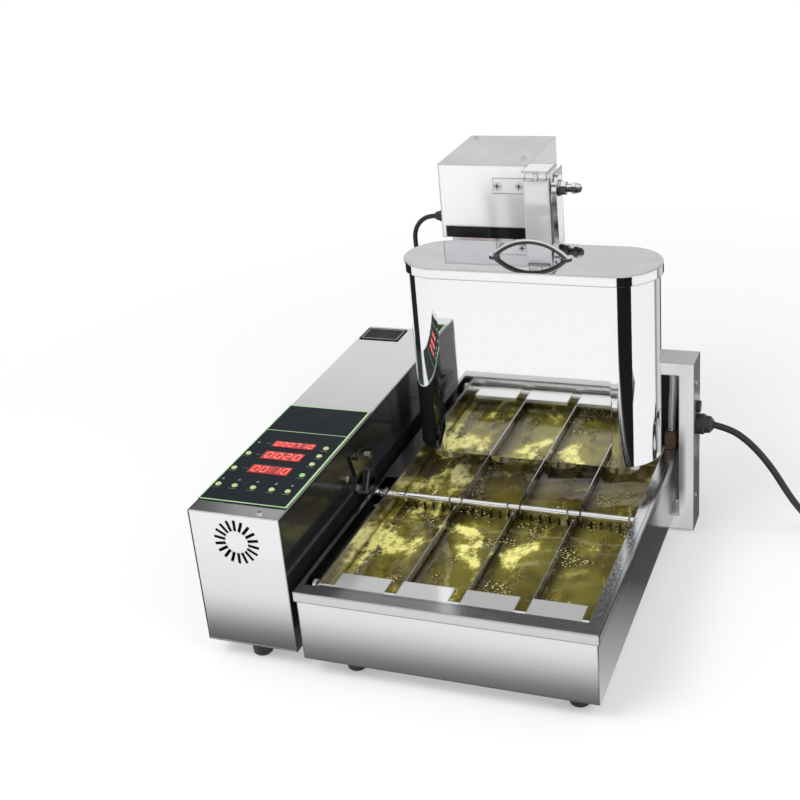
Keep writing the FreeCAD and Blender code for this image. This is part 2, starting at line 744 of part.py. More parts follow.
def make_hopper():
    """The batter hopper with its nozzles, its lid and the lid's handle."""
    shell = stadium("hopper_bottom", "hopper_top", "0")
    inside = stadium("hopper_bottom - 5", "hopper_top + 5", "-hopper_gauge")
    notch = box(("30", "20", "hopper_top"), ("hopper_mid - 15", "hopper_row + hopper_end - 10", "arm_bottom - 18"))
    node("hopper_shell", cut(shell, [inside, notch]))
    floor = stadium("hopper_bottom", "hopper_bottom + hopper_gauge", "-hopper_gauge")
    ways = [rod("nozzle_bore", "10", (lane_middle(lane), "hopper_row", "hopper_bottom - 4")) for lane in range(4)]
    node("hopper_floor", cut(floor, ways))

    tip = "nozzle_tip - hopper_bottom"
    outline = [("nozzle_bore", tip), ("nozzle_bore + 2", tip), ("nozzle_bore + 2", "-2"), ("nozzle_bore + 8", "-2"),
               ("nozzle_bore + 8", "0"), ("nozzle_bore", "0")]
    nozzles = [turned("nozzle", outline, (lane_middle(lane), "hopper_row", "hopper_bottom")) for lane in range(4)]
    node("hopper_nozzles", group(nozzles))

    top = stadium("hopper_top + lid_gauge - lid_skirt", "hopper_top + lid_gauge", "lid_grow")
    under = stadium("hopper_top - lid_skirt", "hopper_top", "lid_grow - hopper_gauge")
    node("hopper_lid", cut(soften(top, "bend / 2", level("hopper_top + lid_gauge")), [under]))
    node("lid_handle", lid_handle())


def lid_handle():
    """A round bar bent to a low arch, on two small feet."""
    owner = doc.addObject("PartDesign::Body", "handle_bar")
    half = number("handle_span / 2")
    rise = number("handle_rise - handle_radius")
    path = sketch_in(owner, "XZ_Plane")
    bow = (half * half + rise * rise) / (2 * rise)
    sweep = math.asin(half / bow)
    arc = Part.ArcOfCircle(Part.Circle(Vector(0, rise - bow, 0), Vector(0, 0, 1), bow),
                           math.pi / 2 - sweep, math.pi / 2 + sweep)
    path.addGeometry(arc)
    hold(path, 0, 1, ("handle_span / 2", "0"))
    hold(path, 0, 2, ("-handle_span / 2", "0"))
    profile = sketch_in(owner, "YZ_Plane")
    circle(profile, ("0", "handle_rise - handle_radius"), "handle_radius")
    crown = path.addGeometry(Part.Point(Vector(0, rise, 0)))
    path.toggleConstruction(crown)
    hold(path, crown, 1, ("0", "handle_rise - handle_radius"))
    path.addConstraint(Sketcher.Constraint("PointOnObject", crown, 1, 0))
    doc.recompute()
    pipe = owner.newObject("PartDesign::AdditivePipe", "handle_pipe")
    pipe.Profile = profile
    pipe.Spine = path
    roof = "hopper_top + lid_gauge"
    put(owner, ("hopper_mid", "hopper_row", roof))
    feet = [rod("handle_radius + 3.5", "2", (f"hopper_mid + {side} * (handle_span / 2 - 1)", "hopper_row", roof))
            for side in (-1, 1)]
    under = box(("handle_span + 40", "40", "20"), ("hopper_mid - handle_span / 2 - 20", "hopper_row - 20", f"{roof} - 20"))
    return cut(fuse([owner] + feet), [under])


def make_depositor():
    """The depositor: guide rods, slide, crosshead, plungers, rocker arm and connecting rod."""
    columns = [f"hopper_mid + {side} * guide_spread" for side in (-1, 1)]
    bars = [rod("guide_radius", "guide_top - portal_top", (column, "guide_row", "portal_top")) for column in columns]
    bridge = box(("2 * guide_spread + 16", "16", "6"), ("hopper_mid - guide_spread - 8", "guide_row - 8", "guide_top"))
    node("guide_rods", fuse(bars + [bridge]))

    block = box(("2 * guide_spread + 28", "20", "slide_height"),
                ("hopper_mid - guide_spread - 14", "guide_row - 10", "slide_bottom"))
    bores = [rod("guide_radius + clearance", "slide_height + 20", (column, "guide_row", "slide_bottom - 10"))
             for column in columns]
    arm = slab(("hopper_mid - 10", "hopper_row - 8", "arm_bottom"), ("hopper_mid + 10", "guide_row - 10", "slide_top"))
    lug_face = "right - rod_x + rod_gauge + 4"
    lug = slab((lug_face, "guide_row", "slide_pin_z - 8"), (f"{lug_face} + 6", "pin_row + pin_shift + 8", "slide_pin_z + 8"))
    shank = ("pin_row + pin_shift", "slide_pin_z")
    collar = rod("slide_pin_radius + 2.5", "3.5", (f"{lug_face} - 3.5", shank[0], shank[1]), "x")
    stub = rod("slide_pin_radius", "rod_gauge + 7", (f"{lug_face} - rod_gauge - 7", shank[0], shank[1]), "x")
    node("plunger_slide", fuse([cut(fuse([block, arm]), bores), lug, collar, stub]))

    beam = slab((f"{lane_middle(3)} - 14", "hopper_row - 8", "arm_bottom - crosshead_height"),
                (f"{lane_middle(0)} + 14", "hopper_row + 8", "arm_bottom"))
    node("crosshead", soften(beam, "bend", upright))
    plungers = []
    for lane in range(4):
        foot = (lane_middle(lane), "hopper_row", "nozzle_tip + 8")
        disc = rod("plunger_radius", "6", foot)
        stem = rod("plunger_rod", "arm_bottom - crosshead_height - nozzle_tip - 8", foot)
        plungers.append(fuse([disc, stem]))
    node("plungers", group(plungers))
    node("rocker_arm", rocker_arm())
    node("connecting_rod", connecting_rod())


def hexagon(width, length, start):
    """A hexagon nut along x, by its width across corners."""
    item = doc.addObject("Part::Prism", "nut")
    item.Polygon = 6
    item.Placement = Placement(Vector(), TURNS["x"])
    item.setExpression("Circumradius", formula(f"({width}) / 2"))
    item.setExpression("Height", formula(length))
    put(item, start)
    return item


def rocker_arm():
    """The gear motor's rocker arm, with the threaded stud that carries the connecting rod."""
    face = "right - guard_left_x + 6"
    hub = rod("11", "8", (face, "pivot_row", "pin_z"), "x")
    eye = rod("9", "8", (face, "pin_row", "pin_z"), "x")
    web = slab((face, "pin_row", "pin_z - 7"), (f"{face} + 8", "pivot_row", "pin_z + 7"))
    axle = rod("6", "26", (f"{face} - 26", "pivot_row", "pin_z"), "x")
    outside = "right - rod_x + rod_gauge + 0.4"
    stud = rod("stud_radius", f"{outside} + 22 - ({face})", (face, "pin_row", "pin_z"), "x")
    washer = rod("10", "1.5", (outside, "pin_row", "pin_z"), "x")
    nut = hexagon("17", "7", (f"{outside} + 1.5", "pin_row", "pin_z"))
    lock = hexagon("14", "5", (f"{outside} + 15", "pin_row", "pin_z"))
    dome = doc.addObject("Part::Sphere", "dome")
    dome.setExpression("Radius", formula("stud_radius + 0.8"))
    put(dome, (f"{outside} + 21.5", "pin_row", "pin_z"))
    return fuse([hub, eye, web, axle, stud, washer, nut, lock, dome])


def connecting_rod():
    """The tapered rod from the rocker's stud to the slide's pin, with a slot at its foot."""
    face = "right - rod_x"
    shank = padded("rod_shank", [("-7", "slide_pin_z"), ("7", "slide_pin_z"), ("rod_head - 1", "pin_z"),
                                 ("-(rod_head - 1)", "pin_z")], "rod_gauge", (face, "pin_row", "0"))
    head = rod("rod_head", "rod_gauge", (face, "pin_row", "pin_z"), "x")
    foot = rod("slide_pin_radius + 7", "rod_gauge", (face, "pin_row", "slide_pin_z"), "x")
    bore = rod("stud_radius + clearance", "30", (f"{face} - 10", "pin_row", "pin_z"), "x")
    slot_radius = "slide_pin_radius + 0.6"
    ends = [rod(slot_radius, "30", (f"{face} - 10", f"pin_row + {side} * pin_shift", "slide_pin_z"), "x")
            for side in (-1, 1)]
    middle = slab((f"{face} - 10", "pin_row - pin_shift", f"slide_pin_z - ({slot_radius})"),
                  (f"{face} + 20", "pin_row + pin_shift", f"slide_pin_z + {slot_radius}"))
    return cut(fuse([shank, head, foot]), [bore, middle] + ends)


def make_motor():
    """The tower, the motor box on it, the depositor's gear motor and the drive guard."""
    thin = "1.2"
    pan_low = (f"box_left + {thin}", f"box_front + {thin}", "motor_floor")
    pan_high = (f"box_right - {thin}", f"box_back - {thin}", "motor_skirt")
    pan = cut(slab(pan_low, pan_high), [slab(
        (f"box_left + {thin} + 2", f"box_front + {thin} + 2", "motor_floor - 1"),
        (f"box_right - {thin} - 2", f"box_back - {thin} - 2", "motor_skirt - 2"))])
    column = slab(("box_left + 11", "back - 40", "rim_top"), ("box_left + 96", "back - 3", "motor_skirt - 1"))
    hollow = slab(("box_left + 13", "back - 38", "rim_top - 1"), ("box_left + 94", "back", "motor_skirt - 2"))
    flange = slab(("box_left + 3", "back - 46", "rim_top"), ("box_left + 104", "back - 1", "rim_top + 2"))
    node("motor_tower", fuse([cut(column, [hollow]), flange, pan]))

    outer = slab(("box_left", "box_front", "motor_floor"), ("box_right", "box_back", "motor_top"))
    inner = slab((f"box_left + {thin}", f"box_front + {thin}", "motor_floor - 1"),
                 (f"box_right - {thin}", f"box_back - {thin}", f"motor_top - {thin}"))
    gap = slab(("box_left + 6", "box_front - 1", "motor_floor - 1"), ("box_right + 1", f"box_front + {thin}", "motor_skirt"))
    shaft_way = rod("8", "10", ("box_right - 5", "pivot_row", "pin_z"), "x")
    lead_way = rod("4", "10", ("box_left - 5", "box_front + 12", "motor_skirt + 9"), "x")
    folds = soften(outer, "bend / 2", lambda edge: upright(edge) or level("motor_top")(edge))
    node("motor_box_cover", cut(folds, [inner, gap, shaft_way, lead_way]))

    gearbox = slab(("box_right - 60", "box_front + 6", "motor_skirt"), (f"box_right - {thin}", "box_front + 70", "motor_top - 6"))
    barrel = rod("27", "box_back - box_front - 78", ("box_right - 32", "box_front + 70", "motor_skirt + 36"), "y")
    bore = rod("6 + clearance", "40", ("box_right - 22", "pivot_row", "pin_z"), "x")
    node("depositor_gear_motor", cut(fuse([gearbox, barrel]), [bore]))
    node("drive_guard", drive_guard())


def drive_guard():
    """The folded guard beside the motor box, with its screwed strap and the lug on top."""
    west = "right - guard_left_x"
    east = "right - guard_right_x"
    south = "front + guard_y"
    outer = slab((west, south, "guard_bottom"), (east, "pivot_row + 20", "guard_top"))
    inner = slab((f"{west} + gauge", f"{south} + gauge", "guard_bottom - 1"), (f"{east} - gauge", "pivot_row + 21", "guard_top + 1"))
    side = slab((f"{west} - 1", "box_front", "guard_bottom - 1"), (f"{west} + gauge + 0.1", "pivot_row + 21", "guard_top + 1"))
    lip = slab((f"{west} + 3", f"{south} - 5", "guard_top - gauge"), (f"{east} - 3", f"{south} + gauge", "guard_top"))
    crest = slab((f"{west} + 3", south, "guard_top - 4"), (f"{east} - 3", f"{south} + gauge", "guard_top + 11"))
    shelf = slab((f"{west} + 1", f"{south} - 6", "guard_top + 9"), (f"{east} + 2", f"{south} + 28", "guard_top + 11"))
    screw = rod("2.2", "11", (f"{west} + 17", f"{south} - 2.7", "guard_top - gauge"))
    strap = slab((f"{west} - 44", "box_front - gauge", "pin_z - 11"), (f"{west} + gauge", "box_front", "pin_z + 9"))
    slot = slab((f"{east} - 5", "pin_row - stud_radius - 1", "pin_z - 18"), (f"{east} + 5", "pin_row + stud_radius + 4", "pin_z + 18"))
    body = cut(soften(outer, "bend", upright), [inner, side, slot])
    return fuse([body, lip, crest, shelf, screw, strap])


def make_screws():
    """Screws: on the strap, the roofs, the portal and the bearing bracket."""
    pan_heads = []
    for across in ("-38", "-10"):
        pan_heads.append(rod("4.8", "2.2", (f"right - guard_left_x + {across}", "box_front - gauge - 2.2", "pin_z - 1"), "y"))
    pan_heads.append(rod("3.2", "2", ("box_right - 12", "box_front + 30", "motor_top")))
    pan_heads.append(rod("3.2", "2", ("box_left + 12", "box_back - 14", "motor_top")))
    pan_heads.append(rod("3", "1.8", ("control_right - 26", "front + 18", "control_top")))
    pan_heads.append(rod("3", "1.8", ("control_right - 26", "control_back - 8", "control_top")))
    for out, along in (("3", "turner_row - 4.5"), ("0", "turner_row - 67")):
        pan_heads.append(rod("4.2", "3.5", (f"control_right + {out}", along, "shaft_z + 53"), "x"))
    for height in ("portal_top - 28", "rim_top - 60"):
        pan_heads.append(rod("3.2", "2", ("portal_right", "portal_face + 10", height), "x"))
    node("sheet_screws", group(pan_heads))


def gland(name, radius, length, bore, place, axis):
    """A cable gland: a flange, a nut and a tapered sleeve round the cable."""
    outline = [(bore, "0"), (radius, "0"), (radius, f"({length}) * 0.45"), (f"({radius}) * 0.86", f"({length}) * 0.5"),
               (f"({radius}) * 0.8", f"({length}) * 0.8"), (f"({bore}) + 1.2", length), (bore, length)]
    return turned(name, outline, place, axis)


# The mains cord's free stretch, as (right of the fryer body's right side, back from its front, up)
CORD_ROUTE = [
    (42.7, 402, 142), (60.3, 402, 138.3), (77.6, 402, 128.3), (95.6, 402, 110.9), (112.5, 402.6, 88.6),
    (126.5, 404, 64.3), (140, 406.5, 41.8), (157, 410, 20.5), (178, 413, 8), (201, 414.4, 4), (223, 414.961, 4),
]
# The motor lead from its gland down to the control box's roof
LEAD_ROUTE = [
    (-314.5, 489, 362), (-331, 489, 362), (-345.7, 489.6, 353.5), (-354.2, 490.6, 338.8), (-354.8, 492.4, 318),
    (-352.8, 494.2, 294), (-351.6, 496, 270), (-352.6, 497.6, 246), (-355, 499, 224), (-355, 499, 202),
]
# The heater's conduit, seen through the portal
CONDUIT_ROUTE = [
    (-9, 412, 125), (-9, 412, 142), (-8.2, 411, 159), (-6.8, 409, 176), (-6, 408, 193), (-6, 408, 210),
]


def route_points(route):
    """A route's points in the machine's frame."""
    right = number("right")
    front = number("front")
    return [Vector(right + across, front + along, up) for across, along, up in route]


def rounded_route(points):
    """Straight runs joined by the largest arcs that they allow, with the arcs' radii."""
    edges = []
    radii = []
    at = points[0]
    for before, corner, after in zip(points, points[1:], points[2:]):
        into = (corner - before).normalize()
        out = (after - corner).normalize()
        turn = into.getAngle(out)
        back_off = 0.45 * min((corner - before).Length, (after - corner).Length)
        radius = back_off / math.tan(turn / 2)
        start = corner - into * back_off
        finish = corner + out * back_off
        inward = (out - into).normalize()
        middle = corner + inward * (radius / math.cos(turn / 2) - radius)
        edges.append(Part.LineSegment(at, start).toShape())
        edges.append(Part.Arc(start, middle, finish).toShape())
        radii.append(radius)
        at = finish
    edges.append(Part.LineSegment(at, points[-1]).toShape())
    return edges, radii


def cable(name, route, radius):
    """A tube along a route, with its radii and volume printed."""
    edges, radii = rounded_route(route_points(route))
    size = number(radius)
    shape = tube_along(edges, size)
    length = sum(edge.Length for edge in edges)
    ideal = math.pi * size ** 2 * length
    print(f"{name}: length {length:.0f}, radii", " ".join(f"{value:.0f}" for value in radii))
    print(f"{name}: volume is {shape.Volume / ideal:.4f} of section times length")
    return shaped(shape)


def arc_from(start, heading, finish):
    """An arc that leaves a point along a heading and ends at another, and its heading there."""
    chord = finish - start
    along = Vector(chord).normalize()
    side = heading - along * heading.dot(along)
    if side.Length < 1e-6:
        return Part.LineSegment(start, finish).toShape(), along
    bulge = side.normalize() * (chord.Length / 2 * math.tan(heading.getAngle(along) / 2))
    return Part.Arc(start, start + chord / 2 + bulge, finish).toShape(), along * (2 * heading.dot(along)) - heading


def biarc(start, heading, finish, arrival):
    """Two arcs that join two points with given headings."""
    span = finish - start
    lean = span.dot(heading + arrival)
    spread = 2 * (1 - heading.dot(arrival))
    reach = (-lean + math.sqrt(lean * lean + spread * span.dot(span))) / spread
    joint = (start + finish + (heading - arrival) * reach) / 2
    first, bend = arc_from(start, heading, joint)
    second, _ = arc_from(joint, bend, finish)
    return [first, second]


def coil_knot(turns, centre):
    """A point of the coil and its heading, at so many turns from where the spiral reverses."""
    pitch = number("coil_pitch")
    rise = number("2 * cord_radius + 0.6")
    angle = 2 * math.pi * turns
    reach = number("coil_inner") + pitch * abs(turns)
    climb = min(max(2 * turns + 0.5, 0.0), 1.0)
    height = number("cord_radius") + rise * climb * climb * (3 - 2 * climb)
    slope = rise * 6 * climb * (1 - climb) * 2
    drift = pitch * ((turns > 0) - (turns < 0))
    outward = Vector(math.cos(angle), math.sin(angle), 0)
    around = Vector(-math.sin(angle), math.cos(angle), 0)
    heading = outward * drift + around * (2 * math.pi * reach) + Vector(0, 0, slope)
    return centre + outward * reach + Vector(0, 0, height), heading.normalize()


COIL_START = -2.25
COIL_END = 2.0
STEPS_PER_TURN = 4


def coil_shape():
    """The cord's put-away length: two layers that spiral in, climb and spiral out, with a straight tail."""
    entry = route_points(CORD_ROUTE)[-1]
    first = coil_knot(COIL_START, Vector())
    centre = entry - first[0] + first[1] * (2 * number("cord_radius"))
    count = round((COIL_END - COIL_START) * STEPS_PER_TURN)
    knots = [coil_knot(COIL_START + step / STEPS_PER_TURN, centre) for step in range(count + 1)]
    edges = [Part.LineSegment(knots[0][0] - knots[0][1] * (2 * number("cord_radius")), knots[0][0]).toShape()]
    for (start, heading), (finish, arrival) in zip(knots, knots[1:]):
        edges.extend(biarc(start, heading, finish, arrival))
    tail = knots[-1][0] + knots[-1][1] * number("coil_tail")
    edges.append(Part.LineSegment(knots[-1][0], tail).toShape())
    print(f"cord_coil: length {sum(edge.Length for edge in edges):.0f}, least gap {least_gap(edges):.2f}")
    return tube_along(edges, number("cord_radius")), tail, knots[-1][1]


def least_gap(edges):
    """The least gap between stretches of a tube that are more than half a turn apart, on points."""
    step = 2.0
    spots = []
    for edge in edges:
        spots.extend(edge.discretize(Number=max(2, round(edge.Length / step)) + 1)[:-1])
    apart = round(number("coil_inner") * math.pi / step)
    nearest = min((spot - other).Length for index, spot in enumerate(spots) for other in spots[index + apart:])
    return nearest - 2 * number("cord_radius")


def make_cables():
    """Glands, motor lead, heater conduit and terminal block, mains cord, its coil and its plug."""
    mains = gland("mains_gland", "gland_radius", "gland_length", "cord_radius",
                  ("portal_right", "front + gland_y", "gland_z"), "x")
    motor = gland("motor_gland", "7", "12", "lead_radius", ("box_left", "box_front + 12", "motor_skirt + 9"), "-x")
    control = gland("control_gland", "7", "16", "lead_radius", ("right - 355", "front + 499", "control_top"), "z")
    blank = rod("7", "5", ("portal_right", "front + gland_y", "gland_z + 23"), "x")
    node("cable_glands", group([mains, motor, control, blank]))
    node("motor_lead", cable("motor_lead", LEAD_ROUTE, "lead_radius"))
    node("heater_conduit", cable("heater_conduit", CONDUIT_ROUTE, "5"))
    block = box(("14", "24", "18"), ("right - 16", "portal_face + 14", "rim_top"))
    node("terminal_block", soften(block, "1.5", upright))
    node("mains_cord", cable("mains_cord", CORD_ROUTE, "cord_radius"))

    coil, tail, heading = coil_shape()
    node("cord_coil", shaped(coil))
    outline = [("0", "0"), ("cord_radius + 1.5", "0"), ("cord_radius + 3", "10"), ("plug_radius - 1.5", "18"),
               ("plug_radius", "22"), ("plug_radius", "plug_length - 2"), ("plug_radius - 2", "plug_length"),
               ("0", "plug_length")]
    turn = Rotation(Vector(0, 0, 1), heading)
    grip = turned("plug", outline, [f"{part:.6f}" for part in tail])
    grip.Placement = Placement(tail, turn)
    pieces = [grip]
    across = heading.cross(Vector(0, 0, 1))
    for side in (-1, 1):
        prong = rod("2.4", "20", ("0", "0", "0"))
        spot = tail + heading * number("plug_length - 1") + across * (side * 7.0)
        put(prong, [f"{part:.6f}" for part in spot])
        prong.Placement = Placement(spot, turn)
        pieces.append(prong)
    node("mains_plug", fuse(pieces))


def check_and_write():
    """Stop on any failed object, then write each named piece."""
    doc.recompute()
    for item in doc.Objects:
        if "Invalid" in item.State or "Error" in item.State:
            raise RuntimeError(f"{item.Name} ({item.Label}) failed: {item.State}")
    os.makedirs("parts", exist_ok=True)
    for item in NODES:
        shape = item.Shape
        if shape.isNull() or not shape.isValid():
            raise RuntimeError(f"{item.Label} has no valid shape")
        shape.exportStep(f"parts/{item.Label}.step")
        print(f"{item.Label}: {len(shape.Solids)} solids, {shape.Volume / 1000:.1f} cm3")


make_body()
make_tank()
make_turner()
make_control_box()
make_control_inside()
make_portal()
make_hopper()
make_depositor()
make_motor()
make_screws()
make_cables()
check_and_write()
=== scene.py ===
"""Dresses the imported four-lane mini-donut fryer: finishes, frying oil, print, displays, cables, studio."""

import logging
import math
from collections.abc import Sequence
from dataclasses import dataclass
from enum import Enum
from typing import ClassVar, Protocol

import bmesh
import bpy
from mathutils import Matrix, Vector


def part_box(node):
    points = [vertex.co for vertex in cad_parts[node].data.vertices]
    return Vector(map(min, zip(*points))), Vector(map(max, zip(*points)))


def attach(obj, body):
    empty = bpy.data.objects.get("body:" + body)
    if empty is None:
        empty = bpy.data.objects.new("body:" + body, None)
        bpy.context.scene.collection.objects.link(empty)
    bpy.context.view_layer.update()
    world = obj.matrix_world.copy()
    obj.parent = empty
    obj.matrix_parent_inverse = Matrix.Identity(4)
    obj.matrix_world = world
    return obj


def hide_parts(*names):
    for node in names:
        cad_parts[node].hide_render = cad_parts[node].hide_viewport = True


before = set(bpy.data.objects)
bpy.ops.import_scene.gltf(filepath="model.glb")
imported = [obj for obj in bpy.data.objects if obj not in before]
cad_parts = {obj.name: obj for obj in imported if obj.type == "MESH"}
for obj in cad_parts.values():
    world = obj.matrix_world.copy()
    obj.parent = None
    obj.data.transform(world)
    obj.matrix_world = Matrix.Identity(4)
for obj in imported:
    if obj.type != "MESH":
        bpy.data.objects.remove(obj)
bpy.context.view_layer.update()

log = logging.getLogger("fryer")

Colour = tuple[float, float, float]
Point = tuple[float, float, float]
Limit = tuple[str, float, float]
Node = bpy.types.Node
Socket = bpy.types.NodeSocket
Material = bpy.types.Material
Item = bpy.types.Object

# Reference places of the part, in metres
BODY_FRONT = -0.306
PANEL_LEFT = -0.245
PANEL_TOP = 0.1892
LANE_START = -0.0267
LANE_PITCH = 0.071

# Where a face of a folded sheet begins, for painted shade and painted reflection that differ from face to
# face, in metres
LID_TOP = 0.3671
BOX_TOP = 0.4325
BOX_RIGHT = 0.0058
GUARD_RIGHT = 0.0388
COVER_RIGHT = -0.1372
COVER_LEFT = -0.2430
COVER_FRONT = -0.2958
TOWER_TOP = 0.3368
POST_TOP = 0.2254
POST_RIGHT = 0.2238

# Limits of the painted reflection on the post's front, a soft grey streak: axis, place and run of the change,
# in metres
POST_PAINTED_REFLECTION = (("X", 0.2160, -0.006), ("Z", 0.150, -0.035), ("Z", 0.030, 0.03))

# Over what length a crisp change of finish runs, in metres
CRISP = 0.0003

# The push buttons, of which one starts the machine
BUTTONS = tuple(f"button_{number}" for number in range(1, 12))
START_BUTTON = "button_4"

# Where most values of a noise lie
NOISE_SPAN = (0.3, 0.7)

# Faces that meet at more than these angles, in degrees, keep a crisp edge
NODE_CREASE = 28
PIECE_CREASE = 40


def opaque(colour: Colour) -> tuple[float, float, float, float]:
    """The colour with full opacity, as colour sockets take it."""
    return (*colour, 1.0)


def scaled(colour: Colour, share: float) -> Colour:
    """The colour made darker or lighter by a share."""
    return tuple(part * share for part in colour)


def add_to_scene(name: str, data: bpy.types.ID) -> Item:
    """Makes an object of a mesh, curve, lamp or camera.

    Args:
        name: The object's name.
        data: What it shows.

    Returns:
        The object, linked to the scene.
    """
    item = bpy.data.objects.new(name, data)
    bpy.context.scene.collection.objects.link(item)
    return item


class Grain(Enum):
    """Which way a sheet was brushed, as how fast its grain changes along x, y and z."""

    ALONG_X = (12.0, 1900.0, 1900.0)
    ALONG_Y = (1900.0, 12.0, 1900.0)
    ALONG_Z = (1900.0, 1900.0, 12.0)
    NONE = (150.0, 150.0, 150.0)


class Nodes:
    """A node tree under construction, with short ways to add and wire its nodes."""

    def __init__(self, tree: bpy.types.NodeTree) -> None:
        """Takes up the tree that the nodes go into."""
        self.tree = tree

    def feed(self, socket: Socket, value: object) -> None:
        """Links a socket to a node or another socket, or sets its own value.

        Args:
            socket: The input to feed.
            value: A node, a socket or a plain value.
        """
        if isinstance(value, Node):
            value = value.outputs[0]
        if isinstance(value, Socket):
            self.tree.links.new(value, socket)
        else:
            socket.default_value = value

    def add(self, kind: str, **inputs: object) -> Node:
        """Adds a node and feeds its inputs.

        Args:
            kind: The node's type without its common first part.
            inputs: Values or links by input name, with underscores for spaces.

        Returns:
            The new node.
        """
        node = self.tree.nodes.new(f"ShaderNode{kind}")
        for name, value in inputs.items():
            self.feed(node.inputs[name.replace("_", " ")], value)
        return node

    def spread(self, value: object, start: float, end: float, low: float = 0.0, high: float = 1.0) -> Node:
        """Maps a value between start and end to between low and high."""
        return self.add("MapRange", Value=value, From_Min=start, From_Max=end, To_Min=low, To_Max=high)

    def vary(self, noise: object, low: float, high: float) -> Node:
        """Maps the usual values of a noise to between low and high."""
        return self.spread(noise, *NOISE_SPAN, low, high)

    def maths(self, kind: str, first: object, second: object) -> Node:
        """One sum, product or comparison of two values.

        Args:
            kind: The operation's name.
            first: The first value or link.
            second: The second value or link.

        Returns:
            The node that works it out.
        """
        node = self.add("Math")
        node.operation = kind
        self.feed(node.inputs[0], first)
        self.feed(node.inputs[1], second)
        return node

    def blend(self, share: object, low: object, high: object) -> Socket:
        """A colour between two.

        Args:
            share: Where between them, from 0 to 1.
            low: The colour at 0.
            high: The colour at 1.

        Returns:
            The blended colour.
        """
        node = self.add("Mix")
        node.data_type = "RGBA"
        self.feed(node.inputs[0], share)
        self.feed(node.inputs[6], low)
        self.feed(node.inputs[7], high)
        return node.outputs[2]

    def mix(self, share: object, first: Node, second: Node) -> Node:
        """A surface between two.

        Args:
            share: How much of the second shows, from 0 to 1.
            first: The shader at 0.
            second: The shader at 1.

        Returns:
            The node that mixes them.
        """
        node = self.add("MixShader", Fac=share)
        self.feed(node.inputs[1], first)
        self.feed(node.inputs[2], second)
        return node

    def seen(self) -> Node:
        """Tells what is looked at from what only lights matt surfaces.

        Returns:
            A node that gives 1 for rays from the camera, mirrors and glass, and 0 for others.
        """
        path = self.add("LightPath").outputs
        sharp = self.maths("MAXIMUM", path["Is Camera Ray"], path["Is Glossy Ray"])
        return self.maths("MAXIMUM", sharp, path["Is Transmission Ray"])

    def show(self, surface: Node) -> None:
        """Makes a shader node the surface of the material or the world."""
        output = next(node for node in self.tree.nodes if node.name.endswith("Output"))
        self.feed(output.inputs["Surface"], surface)


class Shader(Nodes):
    """A node material under construction."""

    def __init__(self, name: str) -> None:
        """Starts a material with its plain surface shader.

        Args:
            name: The material's name.
        """
        self.material = bpy.data.materials.new(name)
        self.material.use_nodes = True
        super().__init__(self.material.node_tree)
        self.surface = self.tree.nodes["Principled BSDF"]
        self.place = self.add("TexCoord").outputs["Object"]

    def finish(self, **inputs: object) -> Material:
        """Feeds the surface shader's inputs.

        Args:
            inputs: Values or links by input name, with underscores for spaces.

        Returns:
            The finished material.
        """
        for name, value in inputs.items():
            self.feed(self.surface.inputs[name.replace("_", " ")], value)
        return self.material

    def noise(self, stretch: Point, detail: float = 3.0, warp: float = 0.0) -> Socket:
        """Clouds from 0 to 1: their changes per metre along x, y and z, their finer layers and their warp."""
        where = self.add("Mapping", Vector=self.place, Scale=stretch)
        return self.add("TexNoise", Vector=where, Scale=1.0, Detail=detail, Distortion=warp).outputs[0]

    def relief(self, height: object, strength: float, depth: float, under: Node | None = None) -> Node:
        """A bumpy surface from a height.

        Args:
            height: The height over the surface.
            strength: How much of it shows.
            depth: How deep it is, in metres.
            under: The relief or edge rounding that it lies on.

        Returns:
            The node whose output is the surface's direction.
        """
        node = self.add("Bump", Height=height, Strength=strength, Distance=depth)
        if under is not None:
            self.feed(node.inputs["Normal"], under)
        return node

    def soft_edge(self, radius: float) -> Node:
        """Rounds sharp edges in the shading.

        Args:
            radius: The radius of the rounding, in metres.

        Returns:
            The node whose output is the surface's direction.
        """
        node = self.add("Bevel", Radius=radius)
        node.samples = 4
        return node

    def edge_share(self, rounded: Node) -> Node:
        """Finds the sharp edges.

        Args:
            rounded: The direction that rounds them.

        Returns:
            A node that gives 1 along them and 0 on open faces.
        """
        node = self.add("VectorMath")
        node.operation = "DOT_PRODUCT"
        self.feed(node.inputs[0], rounded)
        self.feed(node.inputs[1], self.add("NewGeometry").outputs["Normal"])
        return self.spread(node.outputs["Value"], 0.90, 0.99, 1.0, 0.0)

    def beyond(self, axis: str, start: float, run: float) -> Node:
        """0 up to a place on an axis and 1 a run further on, or further back if the run is negative."""
        where = self.add("SeparateXYZ", Vector=self.place).outputs[axis]
        return self.spread(where, start, start + run)


class Finish(Protocol):
    """What every finish has."""

    name: str

    def material(self) -> Material:
        """Makes the finish's node material."""


@dataclass(frozen=True)
class PaintedShade:
    """A zone of a sheet painted darker: painted shade, and painted reflection of something dark beside it.

    Attributes:
        limits: It lies beyond each of these: an axis, a place on it and the run of the change.
        tone: The painted colour in the zone.
    """

    limits: tuple[Limit, ...]
    tone: Colour = (0.018, 0.018, 0.018)

    def share(self, shader: Shader) -> Node:
        """Works out where the zone lies.

        Args:
            shader: The material that it is for.

        Returns:
            A node that gives 1 inside the zone and 0 outside.
        """
        inside = shader.beyond(*self.limits[0])
        for limit in self.limits[1:]:
            inside = shader.maths("MULTIPLY", inside, shader.beyond(*limit))
        return inside


